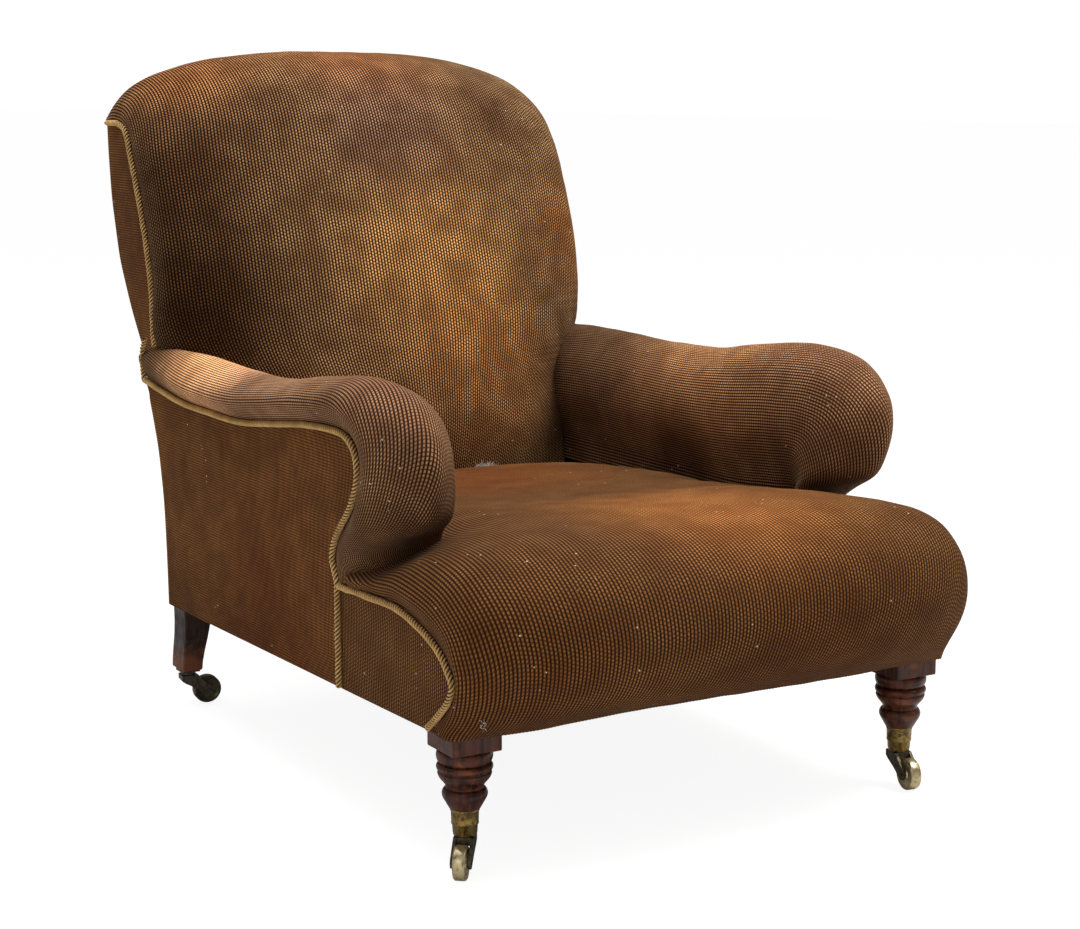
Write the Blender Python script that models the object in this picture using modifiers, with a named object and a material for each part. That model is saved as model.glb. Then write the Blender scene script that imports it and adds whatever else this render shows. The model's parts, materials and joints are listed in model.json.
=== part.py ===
"""Low, deep easy armchair with rolled arms, turned front legs and castors.

Metres, +Z up. The chair faces -Y and stands on z = 0, with the origin on the
floor under the middle of its outer box. Lengths along Y below are measured
from the line through the two front legs, and the whole chair is then moved so
that its outer box is centred.
"""
import math

import bmesh
import bpy
import numpy as np
from mathutils import Matrix, Vector

# Clearances
GAP = 0.0003            # between pieces that touch
PIN_CLEARANCE = 0.0004  # around an axle or a pintle
SOFT_GAP = 0.0015       # between two stuffed pieces that press on each other

# Castors
WHEEL_RADIUS = 0.0190
WHEEL_WIDTH = 0.0140
WHEEL_FLAT = 0.0100     # width of the tread's level part
WHEEL_SHOULDER = 0.0006
WHEEL_SIDES = 28
AXLE_RADIUS = 0.0023
TRAIL = 0.0250
CHEEK_THICKNESS = 0.0034
CHEEK_GAP = 0.0008
CHEEK_BOSS = 0.0066
CROWN_RADIUS = 0.0108
CROWN_HEIGHT = 0.0070
PINTLE_RADIUS = 0.0040
RIVET_RADIUS = 0.0064
RIVET_HEIGHT = 0.0022
CASTOR_RISE = 0.0034    # wheel top to the top of the fork's crown
CUP_FLOOR = 0.0040
CUP_HEIGHT = 0.0300
CUP_WALL = 0.0019
CUP_TOP_RADIUS = 0.0154
CUP_FOOT_RADIUS = 0.0128
PLATE_SIZE = 0.0250
PLATE_THICKNESS = 0.0030
PLATE_BOSS_RADIUS = 0.0095
PLATE_BOSS_HEIGHT = 0.0042
SWIVEL_GAP = 0.0006
FRONT_LEFT_TRAIL = math.radians(-128.7)
FRONT_RIGHT_TRAIL = math.radians(-99.1)
BACK_LEFT_TRAIL = math.radians(-8.0)
BACK_RIGHT_TRAIL = math.radians(-35.0)

# Legs and frame
LEG_SPACING = 0.5940    # between the front legs' axes
LEG_BLOCK = 0.0590
LEG_BLOCK_HEIGHT = 0.0985
LEG_TURNING_TOP = 0.1375
LEG_SIDES = 18
BACK_CASTOR_SPACING = 0.6160
WHEELBASE = 0.7600      # front leg axis to the back castors' swivel axis
RAIL_BOTTOM = 0.1612
RAIL_FALL = 0.0225      # drop of the rails towards the back, per metre
RAIL_HEIGHT = 0.0750
RAIL_THICKNESS = 0.0280
POST_FRONT = 0.7185     # front face of the back posts at the seat rails
POST_DEPTH = 0.0390
POST_TOP = 0.7740
POST_INSET = 0.0095     # of the posts' outer face above the arms
POST_WIDTH = 0.0320
ARM_POST_FRONT = 0.2500
ARM_POST_DEPTH = 0.0400
ARM_FRAME_WIDTH = 0.0290
ARM_RAIL_TOP = 0.4100
ARM_RAIL_HEIGHT = 0.0380
STAY_BOTTOM = 0.3200
STAY_HEIGHT = 0.0500
STAY_THICKNESS = 0.0240
CREST_BOTTOM = 0.7520
CREST_TOP = 0.8340
CREST_THICKNESS = 0.0260

# Cloth, webbing and springs
CLOTH = 0.0040          # a cover with its wadding
WEB_THICKNESS = 0.0016
SEAT_WEB_WIDTH = 0.0500
SEAT_WEB_COUNT = 5
BACK_WEB_WIDTH = 0.0500
BACK_WEB_COUNT = 4
BOTTOM_CLOTH = 0.0010
LEG_CLEAR = 0.0015      # below the hem, where the back legs begin to sweep
HEM = 0.0032            # the covers hang this far below the rails
SEAM_GROW = 0.0006      # of a stuffed cover past its seam
PANEL_INSET = 0.0030    # of a flat cover inside its seam
CORD_INSET = 0.0022     # of a cord inside its seam
SPRING_HEIGHT = 0.0940
SPRING_WIRE = 0.0017
SPRING_END_RADIUS = 0.0360
SPRING_WAIST_RADIUS = 0.0240
SPRING_TURNS = 3
SPRING_STEPS = 20
SPRING_SPACING_X = 0.1450
SPRING_SPACING_Y = 0.1850
SPRING_CENTRE_Y = 0.3350
CANVAS = 0.0014
CORD_RADIUS = 0.0033

# Upholstery
SEAT_TOP = 0.3560       # highest part of the seat, over its front roll
SEAT_NOSE = 0.1260      # front of the seat roll, ahead of the front legs
SEAT_SAG = 0.0330       # how far the seat sinks towards the back
SEAT_SIDE = 0.2620      # half width of the seat between the arms
SEAT_BACK = 0.6650
SEAT_FLANK = 0.0085     # how far the seat roll swells past the side covers
ARM_TOP = 0.5120
ARM_WIDTH = 0.0855      # from the side cover in to the arm's inner face
ARM_OVERHANG = 0.0220   # how far the arm roll swells past the side cover
ARM_NOSE = 0.0480       # foremost point of the arm rolls
ARM_BACK = 0.8300
BACK_TOP = 0.8740
BACK_REACH = 0.9850     # rearmost point of the back's top roll
BACK_HALF = 0.3205      # half width of the back over its side covers
BACK_ARCH = 0.0600      # how far the top falls to its corners
SEAT_WIDENING = 0.0560  # the seat reaches its full width this far ahead of the upright seam
SEAT_BORDER_DROP = 0.0090
SEAM_Y = 0.2285         # upright seam between arm cover and seat border

# Derived places
LEG_X = LEG_SPACING / 2
BACK_CASTOR_X = BACK_CASTOR_SPACING / 2
FRAME_SIDE = LEG_X + LEG_BLOCK / 2
SIDE_INNER = FRAME_SIDE + 2 * GAP
SIDE_PLANE = SIDE_INNER + CLOTH
BACK_INNER = BACK_HALF - CLOTH
POST_OUTER = BACK_INNER - 2 * GAP
POST_INNER = POST_OUTER - POST_WIDTH
AXLE_Z = WHEEL_RADIUS * math.cos(math.pi / WHEEL_SIDES)
CROWN_TOP = AXLE_Z + WHEEL_RADIUS + CASTOR_RISE
CUP_BOTTOM = CROWN_TOP + SWIVEL_GAP
CUP_TOP = CUP_BOTTOM + CUP_HEIGHT
PLATE_TOP = CROWN_TOP + SWIVEL_GAP + PLATE_BOSS_HEIGHT + PLATE_THICKNESS
CHEEK_INNER = WHEEL_WIDTH / 2 + CHEEK_GAP
CHEEK_OUTER = CHEEK_INNER + CHEEK_THICKNESS
DECK = RAIL_BOTTOM + SPRING_HEIGHT + 3 * GAP + CANVAS   # top of the canvas over the springs
MIDDLE_Y = (BACK_REACH - SEAT_NOSE) / 2

# Rear outline of the covered back: height, distance behind the front legs
REAR_OUTLINE = [
    (0.141, 0.7640), (0.210, 0.7660), (0.282, 0.7710), (0.348, 0.7850), (0.412, 0.8120),
    (0.470, 0.8560), (0.527, 0.9010), (0.591, 0.9400), (0.672, 0.9640), (0.740, 0.9720), (0.820, 0.9750),
]
# Front line of the back posts above the seat: height, distance behind the front legs
POST_FACE = [
    (0.225, POST_FRONT), (0.290, 0.7285), (0.4155, 0.7700), (0.545, 0.8680), (0.676, 0.9220), (0.840, 0.9355),
]

scene_collection = bpy.context.scene.collection


def clear_scene():
    for item in list(bpy.data.objects):
        bpy.data.objects.remove(item, do_unlink=True)


def make_collection(name):
    collection = bpy.data.collections.new(name)
    scene_collection.children.link(collection)
    return collection


def material(name, colour, roughness, metallic=0.0):
    made = bpy.data.materials.new(name)
    made.use_nodes = True
    shader = made.node_tree.nodes["Principled BSDF"]
    shader.inputs["Base Color"].default_value = (*colour, 1.0)
    shader.inputs["Roughness"].default_value = roughness
    shader.inputs["Metallic"].default_value = metallic
    return made


clear_scene()
chair = make_collection("easy_armchair")
cutters = make_collection("cutters")

COVER = material("cover_cloth", (0.150, 0.068, 0.026), 0.95)
CORD = material("cord_twist", (0.300, 0.190, 0.075), 0.85)
MAHOGANY = material("mahogany", (0.085, 0.024, 0.012), 0.35)
STAINED = material("stained_wood", (0.050, 0.024, 0.016), 0.45)
BEECH = material("beech_frame", (0.420, 0.270, 0.140), 0.60)
BRASS = material("aged_brass", (0.420, 0.280, 0.080), 0.35, 1.0)
BRONZE = material("dark_bronze", (0.080, 0.065, 0.045), 0.40, 1.0)
STEEL = material("spring_steel", (0.200, 0.190, 0.180), 0.45, 1.0)
JUTE = material("jute_web", (0.330, 0.240, 0.130), 0.95)
HESSIAN = material("hessian", (0.300, 0.215, 0.110), 0.95)
LINING = material("black_lining", (0.015, 0.014, 0.013), 0.95)

base = bpy.data.objects.new("chair_base", None)
base.location = (0.0, -MIDDLE_Y, 0.0)
scene_collection.objects.link(base)
bpy.context.view_layer.update()


# Building blocks

def add_object(name, data, finish, parent=base, collection=chair):
    """Link mesh or curve data as a named object under an empty."""
    made = bpy.data.objects.new(name, data)
    if finish is not None:
        data.materials.append(finish)
    collection.objects.link(made)
    made.parent = parent
    return made


def mesh_from(name, vertices, faces):
    mesh = bpy.data.meshes.new(name)
    mesh.from_pydata([tuple(map(float, v)) for v in vertices], [], faces)
    mesh.validate()
    work = bmesh.new()
    work.from_mesh(mesh)
    bmesh.ops.recalc_face_normals(work, faces=work.faces)
    ends = [face for face in work.faces if len(face.verts) > 4]
    bmesh.ops.triangulate(work, faces=ends)
    work.to_mesh(mesh)
    work.free()
    mesh.update()
    return mesh


def smooth(made, angle=40.0):
    made.data.shade_smooth()
    made.data.set_sharp_from_angle(angle=math.radians(angle))


def add_bevel(made, width, segments=1):
    bevel = made.modifiers.new("edges", "BEVEL")
    bevel.width = width
    bevel.segments = segments
    bevel.limit_method = "ANGLE"


def ring_loft(name, rings, finish, bevel=0.0):
    """A solid through closed rings of equal length, with flat ends."""
    count = len(rings[0])
    vertices = [point for ring in rings for point in ring]
    faces = []
    for i in range(len(rings) - 1):
        for j in range(count):
            k = (j + 1) % count
            faces.append((i * count + j, i * count + k, (i + 1) * count + k, (i + 1) * count + j))
    faces.append(tuple(range(count)))
    faces.append(tuple(range((len(rings) - 1) * count, len(rings) * count)))
    made = add_object(name, mesh_from(name, vertices, faces), finish)
    if bevel:
        add_bevel(made, bevel)
    return made


def turned_mesh(name, profile, sides, closed=False):
    """Vertices and edges of a profile in XZ, turned about Z by a Screw modifier."""
    mesh = bpy.data.meshes.new(name)
    edges = [(i, i + 1) for i in range(len(profile) - 1)]
    if closed:
        edges.append((len(profile) - 1, 0))
    mesh.from_pydata([(radius, 0.0, height) for radius, height in profile], edges, [])
    return mesh


def add_screw(made, sides):
    screw = made.modifiers.new("turn", "SCREW")
    screw.axis = "Z"
    screw.angle = math.tau
    screw.steps = sides
    screw.render_steps = sides
    screw.use_merge_vertices = True
    screw.merge_threshold = 0.00001
    screw.use_smooth_shade = True


def add_boolean(made, cutter, operation):
    boolean = made.modifiers.new(operation.lower(), "BOOLEAN")
    boolean.operation = operation
    boolean.object = cutter
    boolean.solver = "EXACT"


def hide_cutter(made):
    made.hide_render = True
    made.display_type = "WIRE"


def cylinder_cutter(name, radius, depth, location, rotation=(0.0, 0.0, 0.0), parent=base, sides=16):
    mesh = bpy.data.meshes.new(name)
    work = bmesh.new()
    bmesh.ops.create_cone(work, cap_ends=True, segments=sides, radius1=radius, radius2=radius, depth=depth)
    work.to_mesh(mesh)
    work.free()
    made = add_object(name, mesh, None, parent, cutters)
    made.location = location
    made.rotation_euler = rotation
    hide_cutter(made)
    return made


def box_mesh(name, low, high):
    mesh = bpy.data.meshes.new(name)
    work = bmesh.new()
    bmesh.ops.create_cube(work, size=1.0)
    size = Vector(high) - Vector(low)
    middle = (Vector(high) + Vector(low)) / 2
    bmesh.ops.scale(work, vec=size, verts=work.verts)
    bmesh.ops.translate(work, vec=middle, verts=work.verts)
    work.to_mesh(mesh)
    work.free()
    return mesh


def spline(points, at):
    """Smooth values at parameters 0 to len(points) - 1 through rows of points."""
    points = np.asarray(points, float)
    last = len(points) - 1
    at = np.clip(np.asarray(at, float), 0, last)
    cell = np.minimum(at.astype(int), last - 1)
    share = (at - cell).reshape((-1,) + (1,) * (points.ndim - 1))
    before = points[np.maximum(cell - 1, 0)]
    here = points[cell]
    there = points[cell + 1]
    after = points[np.minimum(cell + 2, last)]
    shape = share.shape
    before = np.where((cell == 0).reshape(shape), 2 * here - there, before)
    after = np.where((cell == last - 1).reshape(shape), 2 * there - here, after)
    return 0.5 * (2 * here + (there - before) * share
                  + (2 * before - 5 * here + 4 * there - after) * share ** 2
                  + (3 * here - before - 3 * there + after) * share ** 3)


def skin(net, along, across):
    """A grid of points through a control net."""
    net = np.asarray(net, float)
    rows = spline(net, np.linspace(0, len(net) - 1, along))
    columns = spline(rows.transpose(1, 0, 2), np.linspace(0, net.shape[1] - 1, across))
    return columns.transpose(1, 0, 2)


def padded(name, outer, inner, finish):
    """A closed solid between two grids of the same size."""
    rows, columns = outer.shape[:2]
    vertices = list(outer.reshape(-1, 3)) + list(inner.reshape(-1, 3))
    offset = rows * columns
    faces = []
    for i in range(rows - 1):
        for j in range(columns - 1):
            a = i * columns + j
            faces.append((a, a + 1, a + columns + 1, a + columns))
            faces.append((offset + a + columns, offset + a + columns + 1, offset + a + 1, offset + a))
    rim = [j for j in range(columns)]
    rim += [i * columns + columns - 1 for i in range(1, rows)]
    rim += [(rows - 1) * columns + j for j in range(columns - 2, -1, -1)]
    rim += [i * columns for i in range(rows - 2, 0, -1)]
    for k, a in enumerate(rim):
        b = rim[(k + 1) % len(rim)]
        faces.append((a, offset + a, offset + b, b))
    made = add_object(name, mesh_from(name, vertices, faces), finish)
    smooth(made, 60.0)
    return made


def mirrored(points):
    return np.asarray(points, float) * (-1.0, 1.0, 1.0)


def rail_z(y, height=0.0):
    """Height above the floor of a level of the seat frame, which falls towards the back."""
    return RAIL_BOTTOM + height - RAIL_FALL * y


def along_line(line, z):
    """Depth at a height on a line given as corners with straight stretches between them."""
    return float(np.interp(z, [h for h, _ in line], [d for _, d in line]))


def rear_line(z):
    return along_line(REAR_OUTLINE, z)


def post_rear(z):
    return rear_line(z) - CLOTH - 2 * GAP


def post_front(z):
    return along_line(POST_FACE, z)


def levels(low, high):
    """Heights of a piece that follows the posts: its ends and every corner between them."""
    corners = sorted({h for h, _ in REAR_OUTLINE + POST_FACE})
    return [low] + [h for h in corners if low + 0.004 < h < high - 0.004] + [high]


def arch(x):
    """How far the top of the back has fallen at a distance from the middle."""
    return BACK_ARCH * (abs(x) / BACK_HALF) ** 3.1


# Castors

def cheek_outline():
    """One side of the fork, seen from the side: from the crown down to the axle's boss."""
    centre = (TRAIL, AXLE_Z)
    points = [(-CROWN_RADIUS, CROWN_TOP - 0.0002), (-CROWN_RADIUS, CROWN_TOP - CROWN_HEIGHT),
              (-0.25 * TRAIL, AXLE_Z + 0.62 * WHEEL_RADIUS), (0.35 * TRAIL, AXLE_Z + 0.20 * WHEEL_RADIUS)]
    for step in range(7):
        angle = math.radians(-140 + 30 * step)
        points.append((centre[0] + CHEEK_BOSS * math.cos(angle), centre[1] + CHEEK_BOSS * math.sin(angle)))
    points.append((0.80 * TRAIL, AXLE_Z + 0.72 * WHEEL_RADIUS))
    points.append((CROWN_RADIUS, CROWN_TOP - 0.0002))
    return points


def cheek_mesh(name, inner, outer):
    outline = cheek_outline()
    vertices = [(x, inner, z) for x, z in outline] + [(x, outer, z) for x, z in outline]
    count = len(outline)
    faces = [tuple(range(count)), tuple(range(2 * count - 1, count - 1, -1))]
    faces += [(k, (k + 1) % count, count + (k + 1) % count, count + k) for k in range(count)]
    return mesh_from(name, vertices, faces)


def swivel_empty(name, x, y, trail_angle):
    """An empty on a castor's upright axis, turned so that its +X is the way the wheel trails."""
    made = bpy.data.objects.new(name + "_swivel", None)
    made.location = (x, y, 0.0)
    made.rotation_euler = (0.0, 0.0, trail_angle)
    made.parent = base
    scene_collection.objects.link(made)
    return made


def add_fork(name, swivel, pintle_top, riveted):
    """Crown with two cheeks and the pintle that it turns on."""
    low = (-CROWN_RADIUS, -CHEEK_OUTER, CROWN_TOP - CROWN_HEIGHT)
    high = (CROWN_RADIUS, CHEEK_OUTER, CROWN_TOP)
    fork = add_object(name, box_mesh(name, low, high), BRONZE, swivel)
    for side, label in ((1, "near"), (-1, "far")):
        cheek = add_object(name + "_cheek_" + label,
                           cheek_mesh(name, side * CHEEK_INNER, side * CHEEK_OUTER), None, swivel, cutters)
        hide_cutter(cheek)
        add_boolean(fork, cheek, "UNION")
    foot = CROWN_TOP - CROWN_HEIGHT / 2
    pintle = cylinder_cutter(name + "_pintle", PINTLE_RADIUS, pintle_top - foot,
                             (0.0, 0.0, (pintle_top + foot) / 2), parent=swivel, sides=12)
    add_boolean(fork, pintle, "UNION")
    if riveted:
        head_low = CUP_BOTTOM + CUP_FLOOR + GAP
        head_top = head_low + RIVET_HEIGHT
        head = cylinder_cutter(name + "_rivet", RIVET_RADIUS, RIVET_HEIGHT,
                               (0.0, 0.0, (head_low + head_top) / 2), parent=swivel, sides=12)
        add_boolean(fork, head, "UNION")
    hole = cylinder_cutter(name + "_hole", AXLE_RADIUS + PIN_CLEARANCE, 4 * CHEEK_OUTER,
                           (TRAIL, 0.0, AXLE_Z), (math.pi / 2, 0.0, 0.0), swivel, 12)
    add_boolean(fork, hole, "DIFFERENCE")
    return fork


def add_wheel(name, swivel):
    """Wheel with a crowned tread, one flat of its rim on the floor."""
    edge = WHEEL_RADIUS - WHEEL_SHOULDER
    half = WHEEL_WIDTH / 2
    bore = AXLE_RADIUS + PIN_CLEARANCE
    profile = [(edge, half), (WHEEL_RADIUS, WHEEL_FLAT / 2), (WHEEL_RADIUS, -WHEEL_FLAT / 2), (edge, -half),
               (bore, -half), (bore, half)]
    wheel = add_object(name, turned_mesh(name, profile, WHEEL_SIDES, True), BRASS, swivel)
    add_screw(wheel, WHEEL_SIDES)
    wheel.location = (TRAIL, 0.0, AXLE_Z)
    wheel.rotation_euler = (math.pi / 2, math.pi / 2 + math.pi / WHEEL_SIDES, 0.0)
    return wheel


def add_axle(name, swivel):
    mesh = bpy.data.meshes.new(name)
    work = bmesh.new()
    length = 2 * CHEEK_OUTER + 0.0012
    bmesh.ops.create_cone(work, cap_ends=True, segments=12, radius1=AXLE_RADIUS,
                          radius2=AXLE_RADIUS, depth=length)
    work.to_mesh(mesh)
    work.free()
    axle = add_object(name, mesh, BRONZE, swivel)
    axle.location = (TRAIL, 0.0, AXLE_Z)
    axle.rotation_euler = (math.pi / 2, 0.0, 0.0)
    smooth(axle)
    return axle


def add_cup(name, x):
    """Brass socket round the foot of a turned leg, with two raised bands."""
    foot, top = CUP_BOTTOM, CUP_TOP
    slope = (CUP_TOP_RADIUS - CUP_FOOT_RADIUS) / CUP_HEIGHT
    outer = [(CUP_TOP_RADIUS, top)]
    for share, swell in ((0.12, 0.0), (0.16, -0.0009), (0.44, -0.0008), (0.48, 0.0006), (0.56, 0.0006),
                         (0.60, -0.0007), (0.84, -0.0005), (0.88, 0.0006)):
        outer.append((CUP_TOP_RADIUS - slope * share * CUP_HEIGHT + swell, top - share * CUP_HEIGHT))
    outer.append((CUP_FOOT_RADIUS, foot))
    inner_foot = foot + CUP_FLOOR
    inner = [(PINTLE_RADIUS + PIN_CLEARANCE, foot), (PINTLE_RADIUS + PIN_CLEARANCE, inner_foot),
             (CUP_FOOT_RADIUS - CUP_WALL, inner_foot), (CUP_TOP_RADIUS - CUP_WALL, top)]
    cup = add_object(name, turned_mesh(name, outer + inner, LEG_SIDES, True), BRASS)
    add_screw(cup, LEG_SIDES)
    cup.location = (x, 0.0, 0.0)
    return cup


def add_plate(name, x):
    """Square plate under a back leg, with a round boss that takes the pintle."""
    bottom = PLATE_TOP - PLATE_THICKNESS
    half = PLATE_SIZE / 2
    plate = add_object(name, box_mesh(name, (-half, -half, bottom), (half, half, PLATE_TOP)), BRONZE)
    plate.location = (x, WHEELBASE, 0.0)
    boss_foot = bottom - PLATE_BOSS_HEIGHT
    boss = cylinder_cutter(name + "_boss", PLATE_BOSS_RADIUS, PLATE_BOSS_HEIGHT + PLATE_THICKNESS / 2,
                           (x, WHEELBASE, (boss_foot + bottom + PLATE_THICKNESS / 2) / 2), sides=16)
    add_boolean(plate, boss, "UNION")
    hole = cylinder_cutter(name + "_hole", PINTLE_RADIUS + PIN_CLEARANCE, 4 * PLATE_BOSS_HEIGHT,
                           (x, WHEELBASE, bottom), sides=16)
    add_boolean(plate, hole, "DIFFERENCE")
    return plate


def add_front_castor(side, x, trail_angle):
    name = side + "_front"
    swivel = swivel_empty(name, x, 0.0, trail_angle)
    add_cup(name + "_castor_cup", x)
    add_fork(name + "_castor_fork", swivel, CUP_BOTTOM + CUP_FLOOR + GAP + RIVET_HEIGHT / 2, True)
    add_axle(name + "_castor_axle", swivel)
    add_wheel(name + "_castor_wheel", swivel)


def add_back_castor(side, x, trail_angle):
    name = side + "_back"
    swivel = swivel_empty(name, x, WHEELBASE, trail_angle)
    add_plate(name + "_castor_plate", x)
    add_fork(name + "_castor_fork", swivel, PLATE_TOP - GAP, False)
    add_axle(name + "_castor_axle", swivel)
    add_wheel(name + "_castor_wheel", swivel)


# Legs and frame

def add_front_leg(side, x):
    """Turned leg with its square block and the tapered foot that sits in the castor's cup."""
    foot_low = CUP_BOTTOM + CUP_FLOOR + RIVET_HEIGHT + 3 * GAP
    collar = CUP_TOP + GAP
    taper = (CUP_TOP_RADIUS - CUP_FOOT_RADIUS) / CUP_HEIGHT
    inner_top = CUP_TOP_RADIUS - CUP_WALL - GAP * 2
    rise = LEG_TURNING_TOP - collar
    profile = [(0.0, LEG_TURNING_TOP + 0.0040), (0.0250, LEG_TURNING_TOP + 0.0040)]
    # share of the turning's height, radius
    for share, radius in ((1.00, 0.0272), (0.97, 0.0298), (0.89, 0.0305), (0.81, 0.0290), (0.78, 0.0262),
                          (0.76, 0.0290), (0.72, 0.0305), (0.67, 0.0298), (0.64, 0.0278), (0.60, 0.0292),
                          (0.52, 0.0270), (0.43, 0.0222), (0.36, 0.0203), (0.33, 0.0228), (0.27, 0.0246),
                          (0.20, 0.0240), (0.10, 0.0205), (0.00, 0.0168)):
        profile.append((radius, collar + share * rise))
    profile.append((inner_top, collar))
    profile.append((inner_top - taper * (collar - foot_low), foot_low))
    profile.append((0.0, foot_low))
    leg = add_object(side + "_front_leg", turned_mesh(side + "_front_leg", profile, LEG_SIDES), MAHOGANY)
    add_screw(leg, LEG_SIDES)
    leg.location = (x, 0.0, 0.0)
    half = LEG_BLOCK / 2
    low = (x - half, -half, LEG_TURNING_TOP)
    high = (x + half, half, LEG_TURNING_TOP + LEG_BLOCK_HEIGHT)
    block = add_object(side + "_leg_block", box_mesh(side + "_leg_block", low, high), None, base, cutters)
    add_bevel(block, 0.0012)
    hide_cutter(block)
    add_boolean(leg, block, "UNION")
    return leg


def box_loft(name, low_z, high_z, x_range, front_of, back_of, finish, bevel=0.0015):
    """A straight member with its front and back ends following lines that depend on height."""
    rings = []
    for x in x_range:
        rings.append([(x, front_of(low_z), low_z), (x, back_of(low_z), low_z),
                      (x, back_of(high_z), high_z), (x, front_of(high_z), high_z)])
    return ring_loft(name, rings, finish, bevel)


def add_seat_rails():
    inner = FRAME_SIDE - RAIL_THICKNESS
    half = LEG_BLOCK / 2
    near, far = -half, RAIL_THICKNESS - half
    rings = []
    for x in (-(LEG_X - half - GAP), LEG_X - half - GAP):
        rings.append([(x, near, rail_z(near)), (x, far, rail_z(far)),
                      (x, far, rail_z(far, RAIL_HEIGHT)), (x, near, rail_z(near, RAIL_HEIGHT))])
    ring_loft("front_rail", rings, BEECH, 0.0015)
    ends = (half + GAP, POST_FRONT - GAP)
    for side, sign in (("left", -1), ("right", 1)):
        rings = []
        for y in ends:
            rings.append([(sign * inner, y, rail_z(y)), (sign * FRAME_SIDE, y, rail_z(y)),
                          (sign * FRAME_SIDE, y, rail_z(y, RAIL_HEIGHT)),
                          (sign * inner, y, rail_z(y, RAIL_HEIGHT))])
        ring_loft(side + "_side_rail", rings, BEECH, 0.0015)
    back_face = POST_FRONT + RAIL_THICKNESS
    rings = []
    for x in (-(POST_INNER_LOW - GAP), POST_INNER_LOW - GAP):
        rings.append([(x, POST_FRONT, rail_z(POST_FRONT)), (x, back_face, rail_z(POST_FRONT)),
                      (x, back_face, rail_z(POST_FRONT, RAIL_HEIGHT)),
                      (x, POST_FRONT, rail_z(POST_FRONT, RAIL_HEIGHT))])
    ring_loft("back_rail", rings, BEECH, 0.0015)


POST_WIDTH_LOW = 0.0390
POST_INNER_LOW = FRAME_SIDE - POST_WIDTH_LOW
FOOT_Z = PLATE_TOP + GAP


def add_back_posts():
    """Back leg and upright in one: swept back to its castor below, raked and slimmer above."""
    rail_low = rail_z(POST_FRONT)
    leg_top = rail_low - HEM - LEG_CLEAR
    leg_height = leg_top - FOOT_Z
    foot_half = PLATE_SIZE / 2 + 0.0045
    stations = []
    # share of the leg's height, how far the leg has swept back, slimming of each side
    for share, sweep, slim in ((0.0, 1.0, 1.0), (0.12, 0.93, 0.95), (0.30, 0.70, 0.80),
                               (0.52, 0.36, 0.55), (0.75, 0.10, 0.25), (1.0, 0.0, 0.0)):
        z = FOOT_Z + share * leg_height
        middle_y = (POST_FRONT + post_rear(leg_top)) / 2
        half_y = (post_rear(leg_top) - POST_FRONT) / 2
        middle = middle_y + sweep * (WHEELBASE + 0.0020 - middle_y)
        depth = half_y + slim * (foot_half + 0.0035 - half_y)
        centre_x = (POST_INNER_LOW + FRAME_SIDE) / 2 + slim * (BACK_CASTOR_X - (POST_INNER_LOW + FRAME_SIDE) / 2)
        width = POST_WIDTH_LOW / 2 + slim * (foot_half - 0.0030 - POST_WIDTH_LOW / 2)
        stations.append((z, middle - depth, middle + depth, centre_x - width, centre_x + width))
    narrow_from, narrow_to = ARM_RAIL_TOP, ARM_RAIL_TOP + 0.0600
    for z in levels(leg_top, POST_TOP)[1:]:
        slim = min(1.0, max(0.0, (z - narrow_from) / (narrow_to - narrow_from)))
        stations.append((z, post_front(z), post_rear(z), POST_INNER_LOW + slim * (POST_INNER - POST_INNER_LOW),
                         FRAME_SIDE + slim * (POST_OUTER - FRAME_SIDE)))
    for side, sign in (("left", -1), ("right", 1)):
        rings = []
        for z, front, back, inner, outer in stations:
            rings.append([(sign * inner, front, z), (sign * outer, front, z),
                          (sign * outer, back, z), (sign * inner, back, z)])
        ring_loft(side + "_back_post", rings, STAINED, 0.0015)


def add_back_rails():
    """Arched crest rail at the top and the stay rail above the seat, between the posts."""
    rings = []
    reach = POST_INNER - GAP
    for x in np.linspace(-reach, reach, 11):
        top = CREST_TOP - arch(x)
        rings.append([(x, post_front(CREST_BOTTOM), CREST_BOTTOM),
                      (x, post_front(CREST_BOTTOM) + CREST_THICKNESS, CREST_BOTTOM),
                      (x, post_front(top) + CREST_THICKNESS, top), (x, post_front(top), top)])
    ring_loft("crest_rail", rings, BEECH)
    reach = POST_INNER_LOW - GAP
    stay_top = STAY_BOTTOM + STAY_HEIGHT
    box_loft("back_stay_rail", STAY_BOTTOM, stay_top, (-reach, reach), post_front,
             lambda z: post_front(z) + STAY_THICKNESS, BEECH)


def add_arm_frame():
    """Upright at the front of each arm and the rail from it back to the post."""
    low = ARM_RAIL_TOP - ARM_RAIL_HEIGHT
    for side, sign in (("left", -1), ("right", 1)):
        across = (sign * (FRAME_SIDE - ARM_FRAME_WIDTH), sign * FRAME_SIDE)
        box_loft(side + "_arm_rail", low, ARM_RAIL_TOP, across,
                 lambda z: ARM_POST_FRONT, lambda z: post_front(z) - GAP, BEECH)
        ends = (ARM_POST_FRONT, ARM_POST_FRONT + ARM_POST_DEPTH)
        rings = []
        for y in ends:
            foot = rail_z(y, RAIL_HEIGHT) + GAP
            rings.append([(across[0], y, foot), (across[1], y, foot),
                          (across[1], y, low - GAP), (across[0], y, low - GAP)])
        ring_loft(side + "_arm_post", rings, BEECH, 0.0015)


# Webbing, canvas and springs

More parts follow.
